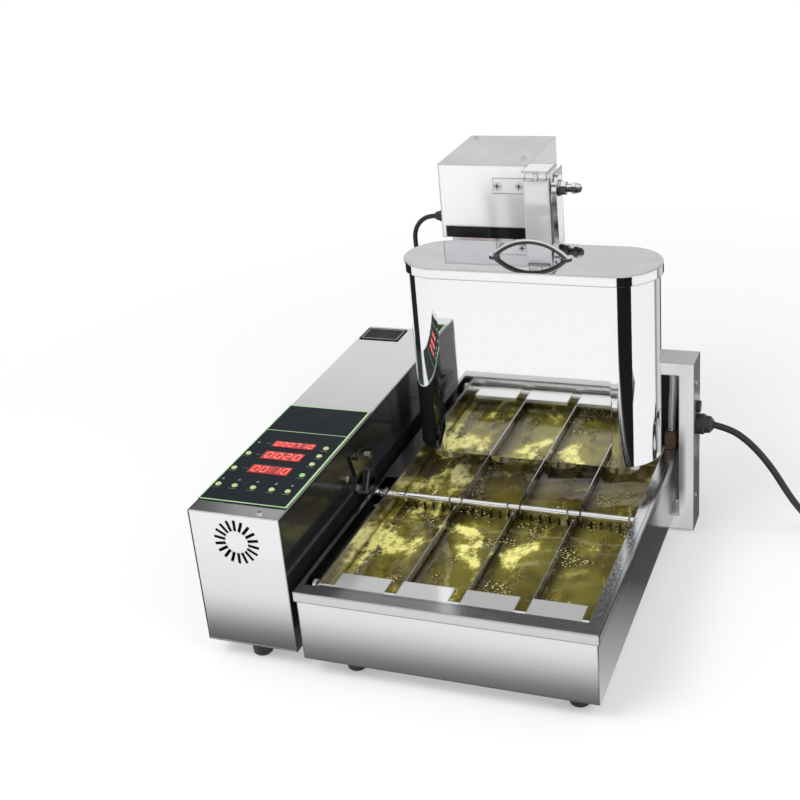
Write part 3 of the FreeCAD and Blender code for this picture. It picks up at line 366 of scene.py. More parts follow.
@dataclass(frozen=True)
class SteelFinish:
    """Stainless sheet: brushed or polished, a little wavy, with handling marks.

    Attributes:
        name: The finish's name.
        tint: The metal's colour.
        gloss: The roughness in the smoothest and in the roughest streaks.
        grain: The brushing direction.
        scratch: How strongly the grain shows as relief.
        dent: How wavy the sheet is.
        smudge: How much handling marks dull it.
        edge: The radius of its bent edges.
        painted_side: The axis and place where a face with painted shade starts, or None where none is.
        painted_side_tone: The colour of that painted shade, as of the dark things the face would mirror.
        painted_side_dullness: How much of the metal's shine the painted face gives up.
        metal: How metallic the clean sheet looks.
        outline: How dark the painted shade along its bent edges is.
        line: The radius of that painted shade for each metre of the edge's own.
        grit: How much its tone varies along the grain.
        shaded: How dark the sides of round pieces are that turn away from the sky.
        painted_shades: Its zones of painted shade and painted reflection.
    """

    name: str
    tint: Colour
    gloss: tuple[float, float] = (0.12, 0.2)
    grain: Grain = Grain.NONE
    scratch: float = 0.03
    dent: float = 0.0
    smudge: float = 0.05
    edge: float = 0.0012
    painted_side: tuple[str, float] | None = None
    painted_side_tone: Colour = (0.10, 0.10, 0.104)
    painted_side_dullness: float = 0.0
    metal: float = 1.0
    outline: float = 0.0
    line: float = 2.2
    grit: float = 0.05
    shaded: float = 0.0
    painted_shades: tuple[PaintedShade, ...] = ()

    # How deep waves and scratches are, and how dark the painted shade on bent edges and shaded sides is
    # beside the tint
    WAVE_DEPTH: ClassVar[float] = 0.004
    SCRATCH_DEPTH: ClassVar[float] = 0.00015
    EDGE_SHADE_TONE: ClassVar[float] = 0.12
    SHADED_TONE: ClassVar[float] = 0.08

    def material(self) -> Material:
        """Makes the finish's node material.

        Returns:
            The material.
        """
        shader = Shader(self.name)
        fine = shader.noise(self.grain.value, 4.0)
        marks = shader.noise((16.0, 16.0, 16.0), 5.0, 0.6)
        dulled = shader.maths("MULTIPLY", shader.spread(marks, 0.52, 0.8), self.smudge)
        rough = shader.maths("ADD", shader.vary(fine, *self.gloss), dulled)
        metal = self.metal
        tone = shader.blend(fine, opaque(scaled(self.tint, 1.0 - self.grit)), opaque(self.tint))
        # Painted shade along the bent edges, where the steel would mirror the dark studio
        if self.outline:
            edges = shader.edge_share(shader.soft_edge(self.line * self.edge))
            dark = opaque(scaled(self.tint, self.EDGE_SHADE_TONE))
            tone = shader.blend(shader.maths("MULTIPLY", edges, self.outline), tone, dark)
        if self.shaded:
            facing = shader.add("NewGeometry").outputs["Normal"]
            upward = shader.add("SeparateXYZ", Vector=facing).outputs["Z"]
            turned = shader.spread(upward, 0.25, 0.65, self.shaded, 0.0)
            tone = shader.blend(turned, tone, opaque(scaled(self.tint, self.SHADED_TONE)))
        # Painted shade: one face painted darker, standing in for the dark things it would mirror
        if self.painted_side is not None:
            share = shader.beyond(*self.painted_side, 0.0005)
            film_and_shade = shader.blend(marks, opaque(self.painted_side_tone), opaque(scaled(self.painted_side_tone, 1.5)))
            tone = shader.blend(share, tone, film_and_shade)
            rough = shader.maths("MULTIPLY", rough, shader.spread(share, 0.0, 1.0, 1.0, 0.5))
            if self.painted_side_dullness:
                metal = shader.spread(share, 0.0, 1.0, self.metal, self.metal - self.painted_side_dullness)
        # Painted shade and painted reflection in zones of the sheet
        for zone in self.painted_shades:
            tone = shader.blend(zone.share(shader), tone, opaque(zone.tone))
        normal = shader.soft_edge(self.edge)
        if self.dent:
            normal = shader.relief(shader.noise((7.0, 7.0, 5.0), 1.0), self.dent, self.WAVE_DEPTH, normal)
        normal = shader.relief(fine, self.scratch, self.SCRATCH_DEPTH, normal)
        shader.finish(Specular_IOR_Level=0.15)
        return shader.finish(Base_Color=tone, Metallic=metal, Roughness=rough, Normal=normal)


@dataclass(frozen=True)
class OiledSteelFinish:
    """Steel that stands in frying oil, with a baked-on layer of oil that fades upwards; on the turner its
    dark is partly painted shade.

    Attributes:
        name: The finish's name.
        tint: The clean metal's colour.
        film_and_shade: The colour of the baked-on layer, on the turner partly painted shade.
        line: The height where the film starts to fade, in metres.
        reach: The height of the last splashes, in metres.
        rough: The metal's roughness.
    """

    name: str
    tint: Colour = (0.74, 0.74, 0.73)
    film_and_shade: Colour = (0.30, 0.23, 0.05)
    line: float = 0.079
    reach: float = 0.092
    rough: float = 0.14

    def material(self) -> Material:
        """Makes the finish's node material.

        Returns:
            The material.
        """
        shader = Shader(self.name)
        splash = shader.noise((90.0, 90.0, 60.0), 5.0, 0.8)
        fine = shader.noise((300.0, 300.0, 300.0), 2.0)
        above = shader.maths("MULTIPLY", shader.beyond("Z", self.line, self.reach - self.line), 1.4)
        clean = shader.maths("ADD", above, shader.vary(splash, -0.3, 0.3))
        tone = shader.blend(shader.spread(clean, 0.0, 1.0), opaque(self.film_and_shade), opaque(self.tint))
        rough = shader.vary(fine, self.rough - 0.05, self.rough + 0.08)
        normal = shader.relief(splash, 0.08, 0.001, shader.soft_edge(0.0006))
        return shader.finish(Base_Color=tone, Metallic=1.0, Roughness=rough, Normal=normal)


@dataclass(frozen=True)
class MouldedFinish:
    """Moulded plastic or rubber with a fine pebbled skin.

    Attributes:
        name: The finish's name.
        colour: The base colour.
        rough: The mean roughness.
        pebble: How many pebbles there are along a metre.
        depth: How strongly they show.
        coat: How much clear gloss lies on top.
        glow: How much light it gives off by itself.
        shine: How strongly its own skin mirrors.
    """

    name: str
    colour: Colour
    rough: float = 0.45
    pebble: float = 900.0
    depth: float = 0.15
    coat: float = 0.0
    glow: float = 0.0
    shine: float = 0.5

    def material(self) -> Material:
        """Makes the finish's node material.

        Returns:
            The material.
        """
        shader = Shader(self.name)
        skin = shader.noise((self.pebble,) * 3, 2.0)
        patch = shader.noise((40.0, 40.0, 40.0), 4.0)
        tone = shader.blend(patch, opaque(scaled(self.colour, 0.82)), opaque(scaled(self.colour, 1.1)))
        rough = shader.vary(patch, self.rough - 0.07, self.rough + 0.09)
        normal = shader.relief(skin, self.depth, 0.0003, shader.soft_edge(0.0005))
        if self.glow:
            shader.finish(Emission_Color=tone, Emission_Strength=self.glow)
        shader.finish(Specular_IOR_Level=self.shine, Coat_Weight=self.coat)
        return shader.finish(Base_Color=tone, Roughness=rough, Normal=normal)


@dataclass(frozen=True)
class OilFinish:
    """Hot frying oil over a bright tank: olive, with painted reflections of the sky as golden ragged patches,
    and bubbles.

    Attributes:
        name: The finish's name.
        bright: The colour of the painted reflection in the ragged patches, and of the painted glints on
            bubbles.
        golden: The colour round them, part of the painted reflection.
        olive: The colour of the open oil at the front.
        brown: Its colour towards the back.
        deep: The colour in the shade of the lane walls and under froth.
        ripple: How strongly the surface waves.
        froth: How strongly the bubbles show.
        painted_glint_edge: Where the painted reflection's noise turns bright.
    """

    name: str = "frying_oil"
    bright: Colour = (1.0, 0.95, 0.31)
    golden: Colour = (0.42, 0.36, 0.055)
    olive: Colour = (0.255, 0.222, 0.042)
    brown: Colour = (0.200, 0.132, 0.022)
    deep: Colour = (0.052, 0.036, 0.010)
    ripple: float = 0.25
    froth: float = 0.5
    painted_glint_edge: tuple[float, float] = (0.58, 0.66)

    def material(self) -> Material:
        """Makes the finish's node material.

        Returns:
            The material.
        """
        shader = Shader(self.name)
        place = shader.add("SeparateXYZ", Vector=shader.place).outputs
        slow = shader.noise((13.0, 9.0, 13.0), 3.0, 0.5)
        swell = shader.noise((34.0, 22.0, 34.0), 2.0, 0.4)

        cells = shader.add("TexVoronoi", Vector=shader.place, Scale=300.0).outputs["Distance"]
        foamy = shader.spread(shader.noise((24.0, 20.0, 24.0), 5.0, 0.6), 0.53, 0.60)
        bubbles = shader.maths("MULTIPLY", shader.spread(cells, 0.15, 0.55, 1.0, 0.0), foamy)

        # Painted reflection: ragged patches where the oil would mirror the sky, more of them to the left
        ragged = shader.noise((21.0, 11.0, 21.0), 8.0, 1.1)
        specks = shader.noise((170.0, 120.0, 170.0), 4.0, 0.3)
        leftward = shader.spread(place["X"], -0.1, 0.18, 0.04, -0.06)
        painted_glints = shader.maths("ADD", ragged, shader.vary(specks, -0.05, 0.05))
        painted_glints = shader.maths("ADD", painted_glints, leftward)

        lane = shader.maths("DIVIDE", shader.maths("SUBTRACT", place["X"], LANE_START), LANE_PITCH)
        shadow = shader.spread(shader.maths("FLOORED_MODULO", lane, 1.0), 0.05, 0.27, 0.85, 0.0)

        backward = shader.spread(place["Y"], -0.08, 0.04, 0.0, 0.8)
        tone = shader.blend(backward, opaque(self.olive), opaque(self.brown))
        tone = shader.blend(shader.spread(slow, 0.34, 0.54), opaque(scaled(self.deep, 1.6)), tone)
        for share, colour in (
            (shader.spread(painted_glints, 0.50, 0.61), self.golden),
            (shader.maths("MULTIPLY", foamy, 0.6), self.deep),
            (shadow, self.deep),
            # Painted reflection in the patches and painted glints on the bubbles
            (shader.spread(painted_glints, *self.painted_glint_edge), self.bright),
            (shader.spread(bubbles, 0.4, 0.8, 0.0, 0.9), self.bright),
        ):
            tone = shader.blend(share, tone, opaque(colour))

        normal = shader.relief(swell, self.ripple, 0.004)
        normal = shader.relief(painted_glints, 0.12, 0.003, normal)
        normal = shader.relief(bubbles, self.froth, 0.0015, normal)
        rough = shader.vary(slow, 0.04, 0.1)
        metal = shader.spread(painted_glints, *self.painted_glint_edge, 0.35, 0.02)
        shader.finish(Coat_Weight=0.3, IOR=1.47)
        return shader.finish(Base_Color=tone, Metallic=metal, Roughness=rough, Normal=normal)


@dataclass(frozen=True)
class BoardFinish:
    """Printed circuit board with fine tracks.

    Attributes:
        name: The finish's name.
        mask: The solder mask's colour.
        track: The colour over the copper.
    """

    name: str = "board_green"
    mask: Colour = (0.01, 0.09, 0.035)
    track: Colour = (0.03, 0.2, 0.07)

    def material(self) -> Material:
        """Makes the finish's node material.

        Returns:
            The material.
        """
        shader = Shader(self.name)
        cells = shader.add("TexVoronoi", Vector=shader.place, Scale=240.0)
        cells.distance = "MANHATTAN"
        lines = shader.spread(cells.outputs["Distance"], 0.2, 0.3)
        tone = shader.blend(lines, opaque(self.mask), opaque(self.track))
        rough = shader.vary(shader.noise((300.0, 300.0, 300.0)), 0.25, 0.4)
        return shader.finish(Base_Color=tone, Roughness=rough, Normal=shader.relief(lines, 0.2, 0.0002))


# Bright sheet of the hopper, the boxes and the body
HOPPER = SteelFinish("hopper_steel", (0.88, 0.885, 0.895), (0.02, 0.04), scratch=0.004, dent=0.015,
                     smudge=0.02)
# Lid: top face painted grey as painted reflection, with painted shade along bent edges
LID = SteelFinish("lid_steel", (0.88, 0.885, 0.895), (0.03, 0.06), scratch=0.006, dent=0.01, smudge=0.04,
                  painted_side=("Z", LID_TOP), painted_side_tone=(0.48, 0.485, 0.50), outline=0.8)
HANDLE = SteelFinish("handle_steel", (0.80, 0.805, 0.815), (0.05, 0.1), scratch=0.01, smudge=0.06,
                     edge=0.0006, shaded=0.95)
# Motor box: top and right faces painted grey as painted reflection, with painted shade along bent edges
BOX = SteelFinish("box_steel", (0.93, 0.935, 0.94), (0.17, 0.2), scratch=0.0, smudge=0.04,
                  painted_side=("Z", BOX_TOP), painted_side_tone=(0.46, 0.465, 0.475), metal=0.6, outline=1.0, line=2.6,
                  grit=0.01, painted_shades=(PaintedShade((("X", BOX_RIGHT, CRISP),), (0.56, 0.565, 0.575)),))
# Drive guard: right face painted grey as painted reflection, with painted shade along bent edges
GUARD = SteelFinish("guard_steel", (0.90, 0.905, 0.91), (0.12, 0.16), scratch=0.0, smudge=0.04, edge=0.0010,
                    metal=0.55, outline=1.0, line=2.6, grit=0.01,
                    painted_shades=(PaintedShade((("X", GUARD_RIGHT, CRISP),), (0.35, 0.355, 0.365)),))
# Body front: painted shade along its bent edges
FRONT = SteelFinish("panel_steel", (0.82, 0.825, 0.835), grain=Grain.ALONG_X, dent=0.01, outline=0.8)
VENT = SteelFinish("vent_steel", (0.82, 0.825, 0.835), grain=Grain.ALONG_X, dent=0.01)
# Rim: painted shade along its bent edges
RIM = SteelFinish("rim_steel", (0.66, 0.665, 0.68), (0.14, 0.2), Grain.ALONG_X, dent=0.01, outline=0.9)
# Control cover: right wall painted near black as painted reflection, front left edge as painted shade, and
# painted shade on bent edges
ROOF = SteelFinish("roof_steel", (0.90, 0.905, 0.91), (0.2, 0.24), Grain.ALONG_Y, scratch=0.02, smudge=0.02,
                   edge=0.001, painted_side=("X", COVER_RIGHT), painted_side_tone=(0.016, 0.016, 0.017), painted_side_dullness=0.9, outline=0.8,
                   painted_shades=(PaintedShade((("X", COVER_LEFT, -CRISP), ("Y", COVER_FRONT, -CRISP))),))
# Portal: top and right faces painted darker as painted shade, a grey streak on the front as painted
# reflection of the body
POST = SteelFinish("post_steel", (0.97, 0.975, 0.98), grain=Grain.ALONG_Z, dent=0.01, painted_side=("Z", POST_TOP),
                   painted_side_tone=(0.38, 0.385, 0.39), metal=0.15, outline=0.8,
                   painted_shades=(PaintedShade((("X", POST_RIGHT, CRISP),), (0.19, 0.19, 0.195)),
                          PaintedShade(POST_PAINTED_REFLECTION, (0.30, 0.30, 0.305))))

# Fittings and what hides inside
# Exit lifter plates: painted shade along their bent edges
PLATE = SteelFinish("plate_steel", (0.90, 0.90, 0.89), (0.08, 0.14), Grain.ALONG_X, scratch=0.01, dent=0.05,
                    smudge=0.06, edge=0.0008, metal=0.6, outline=0.7)
# Motor tower: its top painted near black, as painted shade under the motor box
TOWER = SteelFinish("tower_steel", (0.75, 0.755, 0.765), grain=Grain.ALONG_Z, edge=0.0006,
                    painted_side=("Z", TOWER_TOP), painted_side_tone=(0.012, 0.012, 0.013), painted_side_dullness=0.65)
FITTING = SteelFinish("fitting_steel", (0.75, 0.755, 0.765), edge=0.0006)
BRACKET = SteelFinish("bracket_steel", (0.16, 0.16, 0.165), scratch=0.05, edge=0.0008)
HIDDEN = SteelFinish("chassis_zinc", (0.60, 0.61, 0.63), (0.3, 0.42), scratch=0.05, smudge=0.1, edge=0.0006)
DARK = SteelFinish("dark_steel", (0.22, 0.22, 0.23), (0.3, 0.36), scratch=0.05, smudge=0.1, edge=0.0006)
BRASS = SteelFinish("bush_brass", (0.74, 0.55, 0.24), (0.2, 0.3), scratch=0.05, smudge=0.1, edge=0.0004)
TANK = OiledSteelFinish("tank_steel")
# Turner: near black below its oil line, partly baked-on oil and partly painted shade, as its grates lie in
# shade
WET_SHADED = OiledSteelFinish("wet_shaded_steel", (0.80, 0.80, 0.79), (0.05, 0.038, 0.014), 0.088, 0.0925, 0.12)

# Plastics, rubber, print and lights
BLACK = MouldedFinish("black_plastic", (0.018, 0.018, 0.02), 0.42)
RUBBER = MouldedFinish("black_rubber", (0.013, 0.013, 0.014), 0.5, 700.0, 0.2)
FILM = MouldedFinish("overlay_film", (0.009, 0.0135, 0.018), 0.55, 1500.0, 0.06, shine=0.15)
BORDER = MouldedFinish("overlay_border", (0.42, 0.66, 0.33), 0.4, 1500.0, 0.05)
LEGEND = MouldedFinish("overlay_legend", (0.16, 0.18, 0.19), 0.5, 1500.0, 0.05)
GLASS = MouldedFinish("display_glass", (0.26, 0.012, 0.012), 0.18, 400.0, 0.01, coat=0.4, glow=0.6)
DIGIT = MouldedFinish("display_digit", (1.0, 0.10, 0.07), 0.3, 400.0, 0.0, glow=1.6)
LAMP = MouldedFinish("lamp_lens", (0.23, 0.22, 0.27), 0.25, 600.0, 0.05, coat=0.5)
CAP = MouldedFinish("button_cap", (0.52, 0.62, 0.29), 0.3, 900.0, 0.1, coat=0.4)
START = MouldedFinish("start_button_cap", (0.30, 0.66, 0.25), 0.3, 900.0, 0.1, coat=0.4)
BADGE = MouldedFinish("badge_black", (0.011, 0.011, 0.012), 0.45, 1200.0, 0.05, shine=0.15)
BADGE_LINE = MouldedFinish("badge_line", (0.70, 0.71, 0.72), 0.4, 1200.0, 0.05)
BROWN = MouldedFinish("terminal_brown", (0.15, 0.08, 0.055), 0.4, 500.0, 0.15, coat=0.2)
# Black standing in for shade: the screws' cross recesses and the inside of the portal
RECESS_SHADE = MouldedFinish("recess_shade_black", (0.02, 0.02, 0.021), 0.6, 900.0, 0.2)
TIE = MouldedFinish("tie_black", (0.03, 0.03, 0.032), 0.6, 1800.0, 0.5)
BOARD = BoardFinish()
OIL = OilFinish()


class Wardrobe:
    """Makes each finish once and puts it on nodes and pieces."""

    def __init__(self) -> None:
        """Starts with no finish made."""
        self.made: dict[str, Material] = {}

    def take(self, finish: Finish) -> Material:
        """Makes a finish on its first use and keeps it for the next.

        Args:
            finish: The finish asked for.

        Returns:
            Its material.
        """
        if finish.name not in self.made:
            self.made[finish.name] = finish.material()
        return self.made[finish.name]

    def dress_node(self, name: str, finish: Finish) -> None:
        """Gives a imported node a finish, with smooth round faces and crisp edges.

        Args:
            name: The node's name.
            finish: The finish to wear.
        """
        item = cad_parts[name]
        for slot in item.material_slots:
            slot.material = self.take(finish)
        if not item.material_slots:
            item.data.materials.append(self.take(finish))
        item.data.shade_smooth()
        item.data.set_sharp_from_angle(angle=math.radians(NODE_CREASE))
        log.info("dressed %s in %s", name, finish.name)

    def dress_piece(self, piece: Item, finish: Finish, slot: str | None) -> None:
        """Gives a piece a finish and fixes it to the machine's standing body.

        Args:
            piece: The piece, already in place.
            finish: The finish to wear.
            slot: The record's material slot it belongs to, or None where the record has none like it; not
                used.
        """
        piece.data.materials.append(self.take(finish))
        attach(piece, "machine")
        log.info("built %s", piece.name)


class Shape:
    """A mesh under construction from closed prisms and loops."""

    def __init__(self) -> None:
        """Starts an empty mesh."""
        self.mesh = bmesh.new()

    def prism(self, outline: Sequence[Vector], lift: Vector) -> None:
        """Adds a closed prism.

        Args:
            outline: The corners of its foot, in order.
            lift: From its foot to its top.
        """
        foot = [self.mesh.verts.new(corner) for corner in outline]
        top = [self.mesh.verts.new(corner + lift) for corner in outline]
        self.mesh.faces.new(foot[::-1])
        self.mesh.faces.new(top)
        for here in range(len(outline)):
            there = (here + 1) % len(outline)
            self.mesh.faces.new((foot[here], foot[there], top[there], top[here]))

    def strip(self, low: Vector, wide: float, long: float, thick: float) -> None:
        """Adds a level strip from its lowest corner, with its sides in mm and its thickness in metres."""
        corners = ((0, 0), (1, 0), (1, 1), (0, 1))
        self.prism([low + Vector((x * wide, y * long, 0)) / 1000 for x, y in corners], Vector((0, 0, thick)))

    def rings(self, loops: Sequence[Sequence[Vector]], closed: bool = False) -> None:
        """Skins rings of equal count one after another.

        Args:
            loops: The rings' points.
            closed: Whether the last ring meets the first; otherwise both ends are capped.
        """
        made = [[self.mesh.verts.new(spot) for spot in loop] for loop in loops]
        count = len(loops[0])
        for near, far in zip(made, made[1:] + made[:1] if closed else made[1:]):
            for here in range(count):
                there = (here + 1) % count
                self.mesh.faces.new((near[here], near[there], far[there], far[here]))
        if not closed:
            self.mesh.faces.new(made[0][::-1])
            self.mesh.faces.new(made[-1])

    def done(self, name: str, smooth: bool = False) -> Item:
        """Closes the mesh into an object.

        Args:
            name: The piece's name.
            smooth: Whether its faces shade as one round surface.

        Returns:
            The object, linked to the scene.
        """
        bmesh.ops.recalc_face_normals(self.mesh, faces=self.mesh.faces)
        data = bpy.data.meshes.new(name)
        self.mesh.to_mesh(data)
        self.mesh.free()
        if smooth:
            data.shade_smooth()
            data.set_sharp_from_angle(angle=math.radians(PIECE_CREASE))
        return add_to_scene(name, data)


def on_panel(across: float, along: float, up: float = 0.0) -> Vector:
    """A point on the control panel, in mm from its left edge, from the body's front and above the print."""
    return Vector((PANEL_LEFT + across / 1000, BODY_FRONT + along / 1000, PANEL_TOP + up / 1000))


def frame_strips(wide: float, long: float, ends: float, left: float, right: float) -> list[tuple[float, ...]]:
    """Divides a printed frame into strips.

    Args:
        wide: The frame's width.
        long: Its length.
        ends: The width of its strips at front and back.
        left: The width of its left strip.
        right: The width of its right strip.

    Returns:
        Each strip's left, front, width and length, from the frame's own corner.
    """
    inner = long - 2 * ends
    across = [(0, 0, wide, ends), (0, long - ends, wide, ends)]
    return [*across, (0, ends, left, inner), (wide - right, ends, right, inner)]


@dataclass
class PhotoCamera:
    """The camera at the photograph's place.

    Attributes:
        place: Where it stands, in metres.
        turn: Its rotation about x, y and z, in degrees.
        lens: Its focal length in mm.
        sensor: The sensor's width in mm.
    """

    place: Point = (0.47863, -1.36973, 0.88286)
    turn: Point = (64.95485755, 5.03765983, 21.09277787)
    lens: float = 61.16
    sensor: float = 36.0

    def build(self) -> None:
        """Makes the camera and lets the scene look through it."""
        data = bpy.data.cameras.new("photo_camera")
        data.lens = self.lens
        data.sensor_width = self.sensor
        data.sensor_fit = "HORIZONTAL"
        camera = add_to_scene("photo_camera", data)
        camera.location = self.place
        camera.rotation_euler = [math.radians(angle) for angle in self.turn]
        bpy.context.scene.camera = camera


@dataclass
class SubAssembly:
    """A group of nodes that belong together, with the pieces that the picture adds to them.

    Attributes:
        wardrobe: Where the finishes come from.
    """

    wardrobe: Wardrobe

    # Each finish with the nodes that wear it
    LOOKS: ClassVar[tuple[tuple[Finish, tuple[str, ...]], ...]] = ()

    def dress(self) -> None:
        """Gives the nodes their finishes."""
        for finish, names in self.LOOKS:
            for name in names:
                self.wardrobe.dress_node(name, finish)

    def build(self) -> None:
        """Makes the added pieces, where there are any."""


@dataclass
class Cabling(SubAssembly):
    """Mains cord with its put-away coil, motor lead and heater conduit.

    Attributes:
        cord: The mains cord's thickness.
        cord_length: Its length; not used.
        lead: The motor lead's thickness.
        lead_length: Its length; not used.
        hose: The conduit's outer thickness.
        hose_length: Its length; not used.
        hose_sides: Points round the conduit.
        rib_depth: How deep its pressed ribs are.
        rib_pitch: From rib to rib.
        coil_middle: The coil's middle on the counter.
        coil_inner: The radius of its innermost turn.
        coil_pitch: From turn to turn and layer to layer.
        coil_steps: Points along each turn.
        turns_in: Turns on the counter, inwards.
        turns_out: Turns on top of them, outwards.
        tie_turn: Where round the coil the tie sits, in degrees.
        tie_width: The tie's width.
        tie_gauge: Its thickness.
        tie_core: The middle of the turns that it holds, outwards and up.
    """

    cord: float = 0.008
    cord_length: float = 1.45
    lead: float = 0.006
    lead_length: float = 0.187
    hose: float = 0.010
    hose_length: float = 0.085
    hose_sides: int = 20
    rib_depth: float = 0.0005
    rib_pitch: float = 0.0028
    coil_middle: tuple[float, float] = (0.433297, 0.162815)
    coil_inner: float = 0.0343
    coil_pitch: float = 0.0086
    coil_steps: int = 16
    turns_in: float = 2.25
    turns_out: float = 2.0
    tie_turn: float = 135.0
    tie_width: float = 0.008
    tie_gauge: float = 0.0009
    tie_core: tuple[float, float] = (0.043, 0.009)

    LOOKS: ClassVar = ((RUBBER, ("mains_plug", "cord_coil", "mains_cord", "motor_lead")),)

    CORD_ROUTE: ClassVar[tuple[Point, ...]] = (
        (0.2450, 0.0960, 0.1420), (0.2626, 0.0960, 0.1383), (0.2799, 0.0960, 0.1283),
        (0.2979, 0.0960, 0.1109), (0.3148, 0.0966, 0.0886), (0.3288, 0.0980, 0.0643),
        (0.3423, 0.1005, 0.0418), (0.3593, 0.1040, 0.0205), (0.3803, 0.1070, 0.0080),
        (0.4033, 0.1084, 0.0040), (0.4253, 0.10896, 0.0040),
    )
    TAIL_END: ClassVar[Point] = (0.48586, 0.20280, 0.0126)
    LEAD_ROUTE: ClassVar[tuple[Point, ...]] = (
        (-0.1122, 0.1830, 0.3620), (-0.1287, 0.1830, 0.3620), (-0.1434, 0.1836, 0.3535),
        (-0.1519, 0.1846, 0.3388), (-0.1525, 0.1864, 0.3180), (-0.1505, 0.1882, 0.2940),
        (-0.1493, 0.1900, 0.2700), (-0.1503, 0.1916, 0.2460), (-0.1527, 0.1930, 0.2240),
        (-0.1527, 0.1930, 0.2020),
    )
    HOSE_ROUTE: ClassVar[tuple[Point, ...]] = (
        (0.1933, 0.1060, 0.1250), (0.1933, 0.1060, 0.1420), (0.1941, 0.1050, 0.1590),
        (0.1955, 0.1030, 0.1760), (0.1963, 0.1020, 0.1930), (0.1963, 0.1020, 0.2100),
    )
    # The tie's outline round the turns, outwards from the coil's middle and up
    TIE_OUTLINE: ClassVar[tuple[tuple[float, float], ...]] = (
        (0.0327, 0.0010), (0.0532, 0.0010), (0.0534, 0.0120),
        (0.0512, 0.0172), (0.0336, 0.0172), (0.0325, 0.0120),
    )

    def build(self) -> None:
        route = [*self.CORD_ROUTE, *self.coil_points(), self.TAIL_END]
        mains = self.line("mains_cord_line", route, self.cord)
        self.wardrobe.dress_piece(mains, RUBBER, "black_rubber")
        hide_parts("mains_cord", "cord_coil")
        tie = self.tie()
        self.wardrobe.dress_piece(tie, TIE, "black_rubber")

        lead = self.line("motor_lead_line", self.LEAD_ROUTE, self.lead)
        self.wardrobe.dress_piece(lead, RUBBER, "black_rubber")
        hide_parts("motor_lead")

        hose, path = self.ribbed_hose()
        self.wardrobe.dress_piece(hose, FITTING, "polished_steel")
        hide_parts("heater_conduit")

    def line(self, name: str, route: Sequence[Point], thickness: float) -> Item:
        """One smooth open line through the air.

        Args:
            name: The piece's name.
            route: Its control points.
            thickness: How thick it is drawn, or 0 for the bare line.

        Returns:
            The curve object.
        """
        curve = bpy.data.curves.new(name, "CURVE")
        curve.dimensions = "3D"
        spline = curve.splines.new("NURBS")
        spline.points.add(len(route) - 1)
        for knot, place in zip(spline.points, route):
            knot.co = (*place, 1.0)
        spline.order_u = 3
        spline.use_endpoint_u = True
        spline.resolution_u = 10
        curve.bevel_depth = thickness / 2
        curve.bevel_resolution = 6
        curve.use_fill_caps = thickness > 0
        return add_to_scene(name, curve)

    def coil_points(self) -> list[Point]:
        """Lays the coil: inwards on the counter, up, and outwards on top.

        Returns:
            The control points of its turns.
        """
        spots = []
        # The smooth line passes inside its points by this share of the radius
        pull = 0.25 * math.cos(2 * math.pi / self.coil_steps) + 0.75
        for step in range(int((self.turns_in + self.turns_out) * self.coil_steps) + 1):
            turns = step / self.coil_steps - self.turns_in
            rise = min(max(2 * turns + 0.5, 0.0), 1.0)
            reach = (self.coil_inner + self.coil_pitch * abs(turns)) / pull
            angle = 2 * math.pi * turns
            spots.append((
                self.coil_middle[0] + reach * math.cos(angle),
                self.coil_middle[1] + reach * math.sin(angle),
                self.cord / 2 + self.coil_pitch * rise * rise * (3 - 2 * rise),
            ))
        return spots

    def tie(self) -> Item:
        """Makes the strap round the coil, at its far side.

        Returns:
            The strap.
        """
        angle = math.radians(self.tie_turn)
        out = Vector((math.cos(angle), math.sin(angle), 0))
        up = Vector((0, 0, 1))
        half = Vector((-out.y, out.x, 0)) * self.tie_width / 2
        loops = []
        for reach, height in self.TIE_OUTLINE:
            inward = (Vector(self.tie_core) - Vector((reach, height))).normalized() * self.tie_gauge
            outer = Vector((*self.coil_middle, 0)) + out * reach + up * height
            inner = outer + out * inward.x + up * inward.y
            loops.append([outer - half, outer + half, inner + half, inner - half])
        shape = Shape()
        shape.rings(loops, closed=True)
        return shape.done("coil_tie")

    def ribbed_hose(self) -> tuple[Item, list[Point]]:
        """Makes the conduit as a tube with pressed ribs along its smooth line.

        Returns:
            The hose and the points that it follows.
        """
        bare = self.line("hose_line", self.HOSE_ROUTE, 0.0)
        bare.data.splines[0].resolution_u = 40
        path = [Vector(vertex.co) for vertex in bpy.data.meshes.new_from_object(bare).vertices]
        bpy.data.objects.remove(bare)
        turns = [2 * math.pi * part / self.hose_sides for part in range(self.hose_sides)]
        loops = []
        run = 0.0
        for here, spot in enumerate(path):
            before = path[max(here - 1, 0)]
            ahead = (path[min(here + 1, len(path) - 1)] - before).normalized()
            side = ahead.cross(Vector((0, 1, 0))).normalized()
            other = ahead.cross(side)
            run += (spot - before).length
            groove = 0.5 + 0.5 * math.cos(2 * math.pi * run / self.rib_pitch)
            reach = self.hose / 2 - self.rib_depth * groove
            loops.append([spot + (side * math.cos(turn) + other * math.sin(turn)) * reach for turn in turns])
        shape = Shape()
        shape.rings(loops)
        return shape.done("heater_conduit_hose", smooth=True), [tuple(spot) for spot in path]


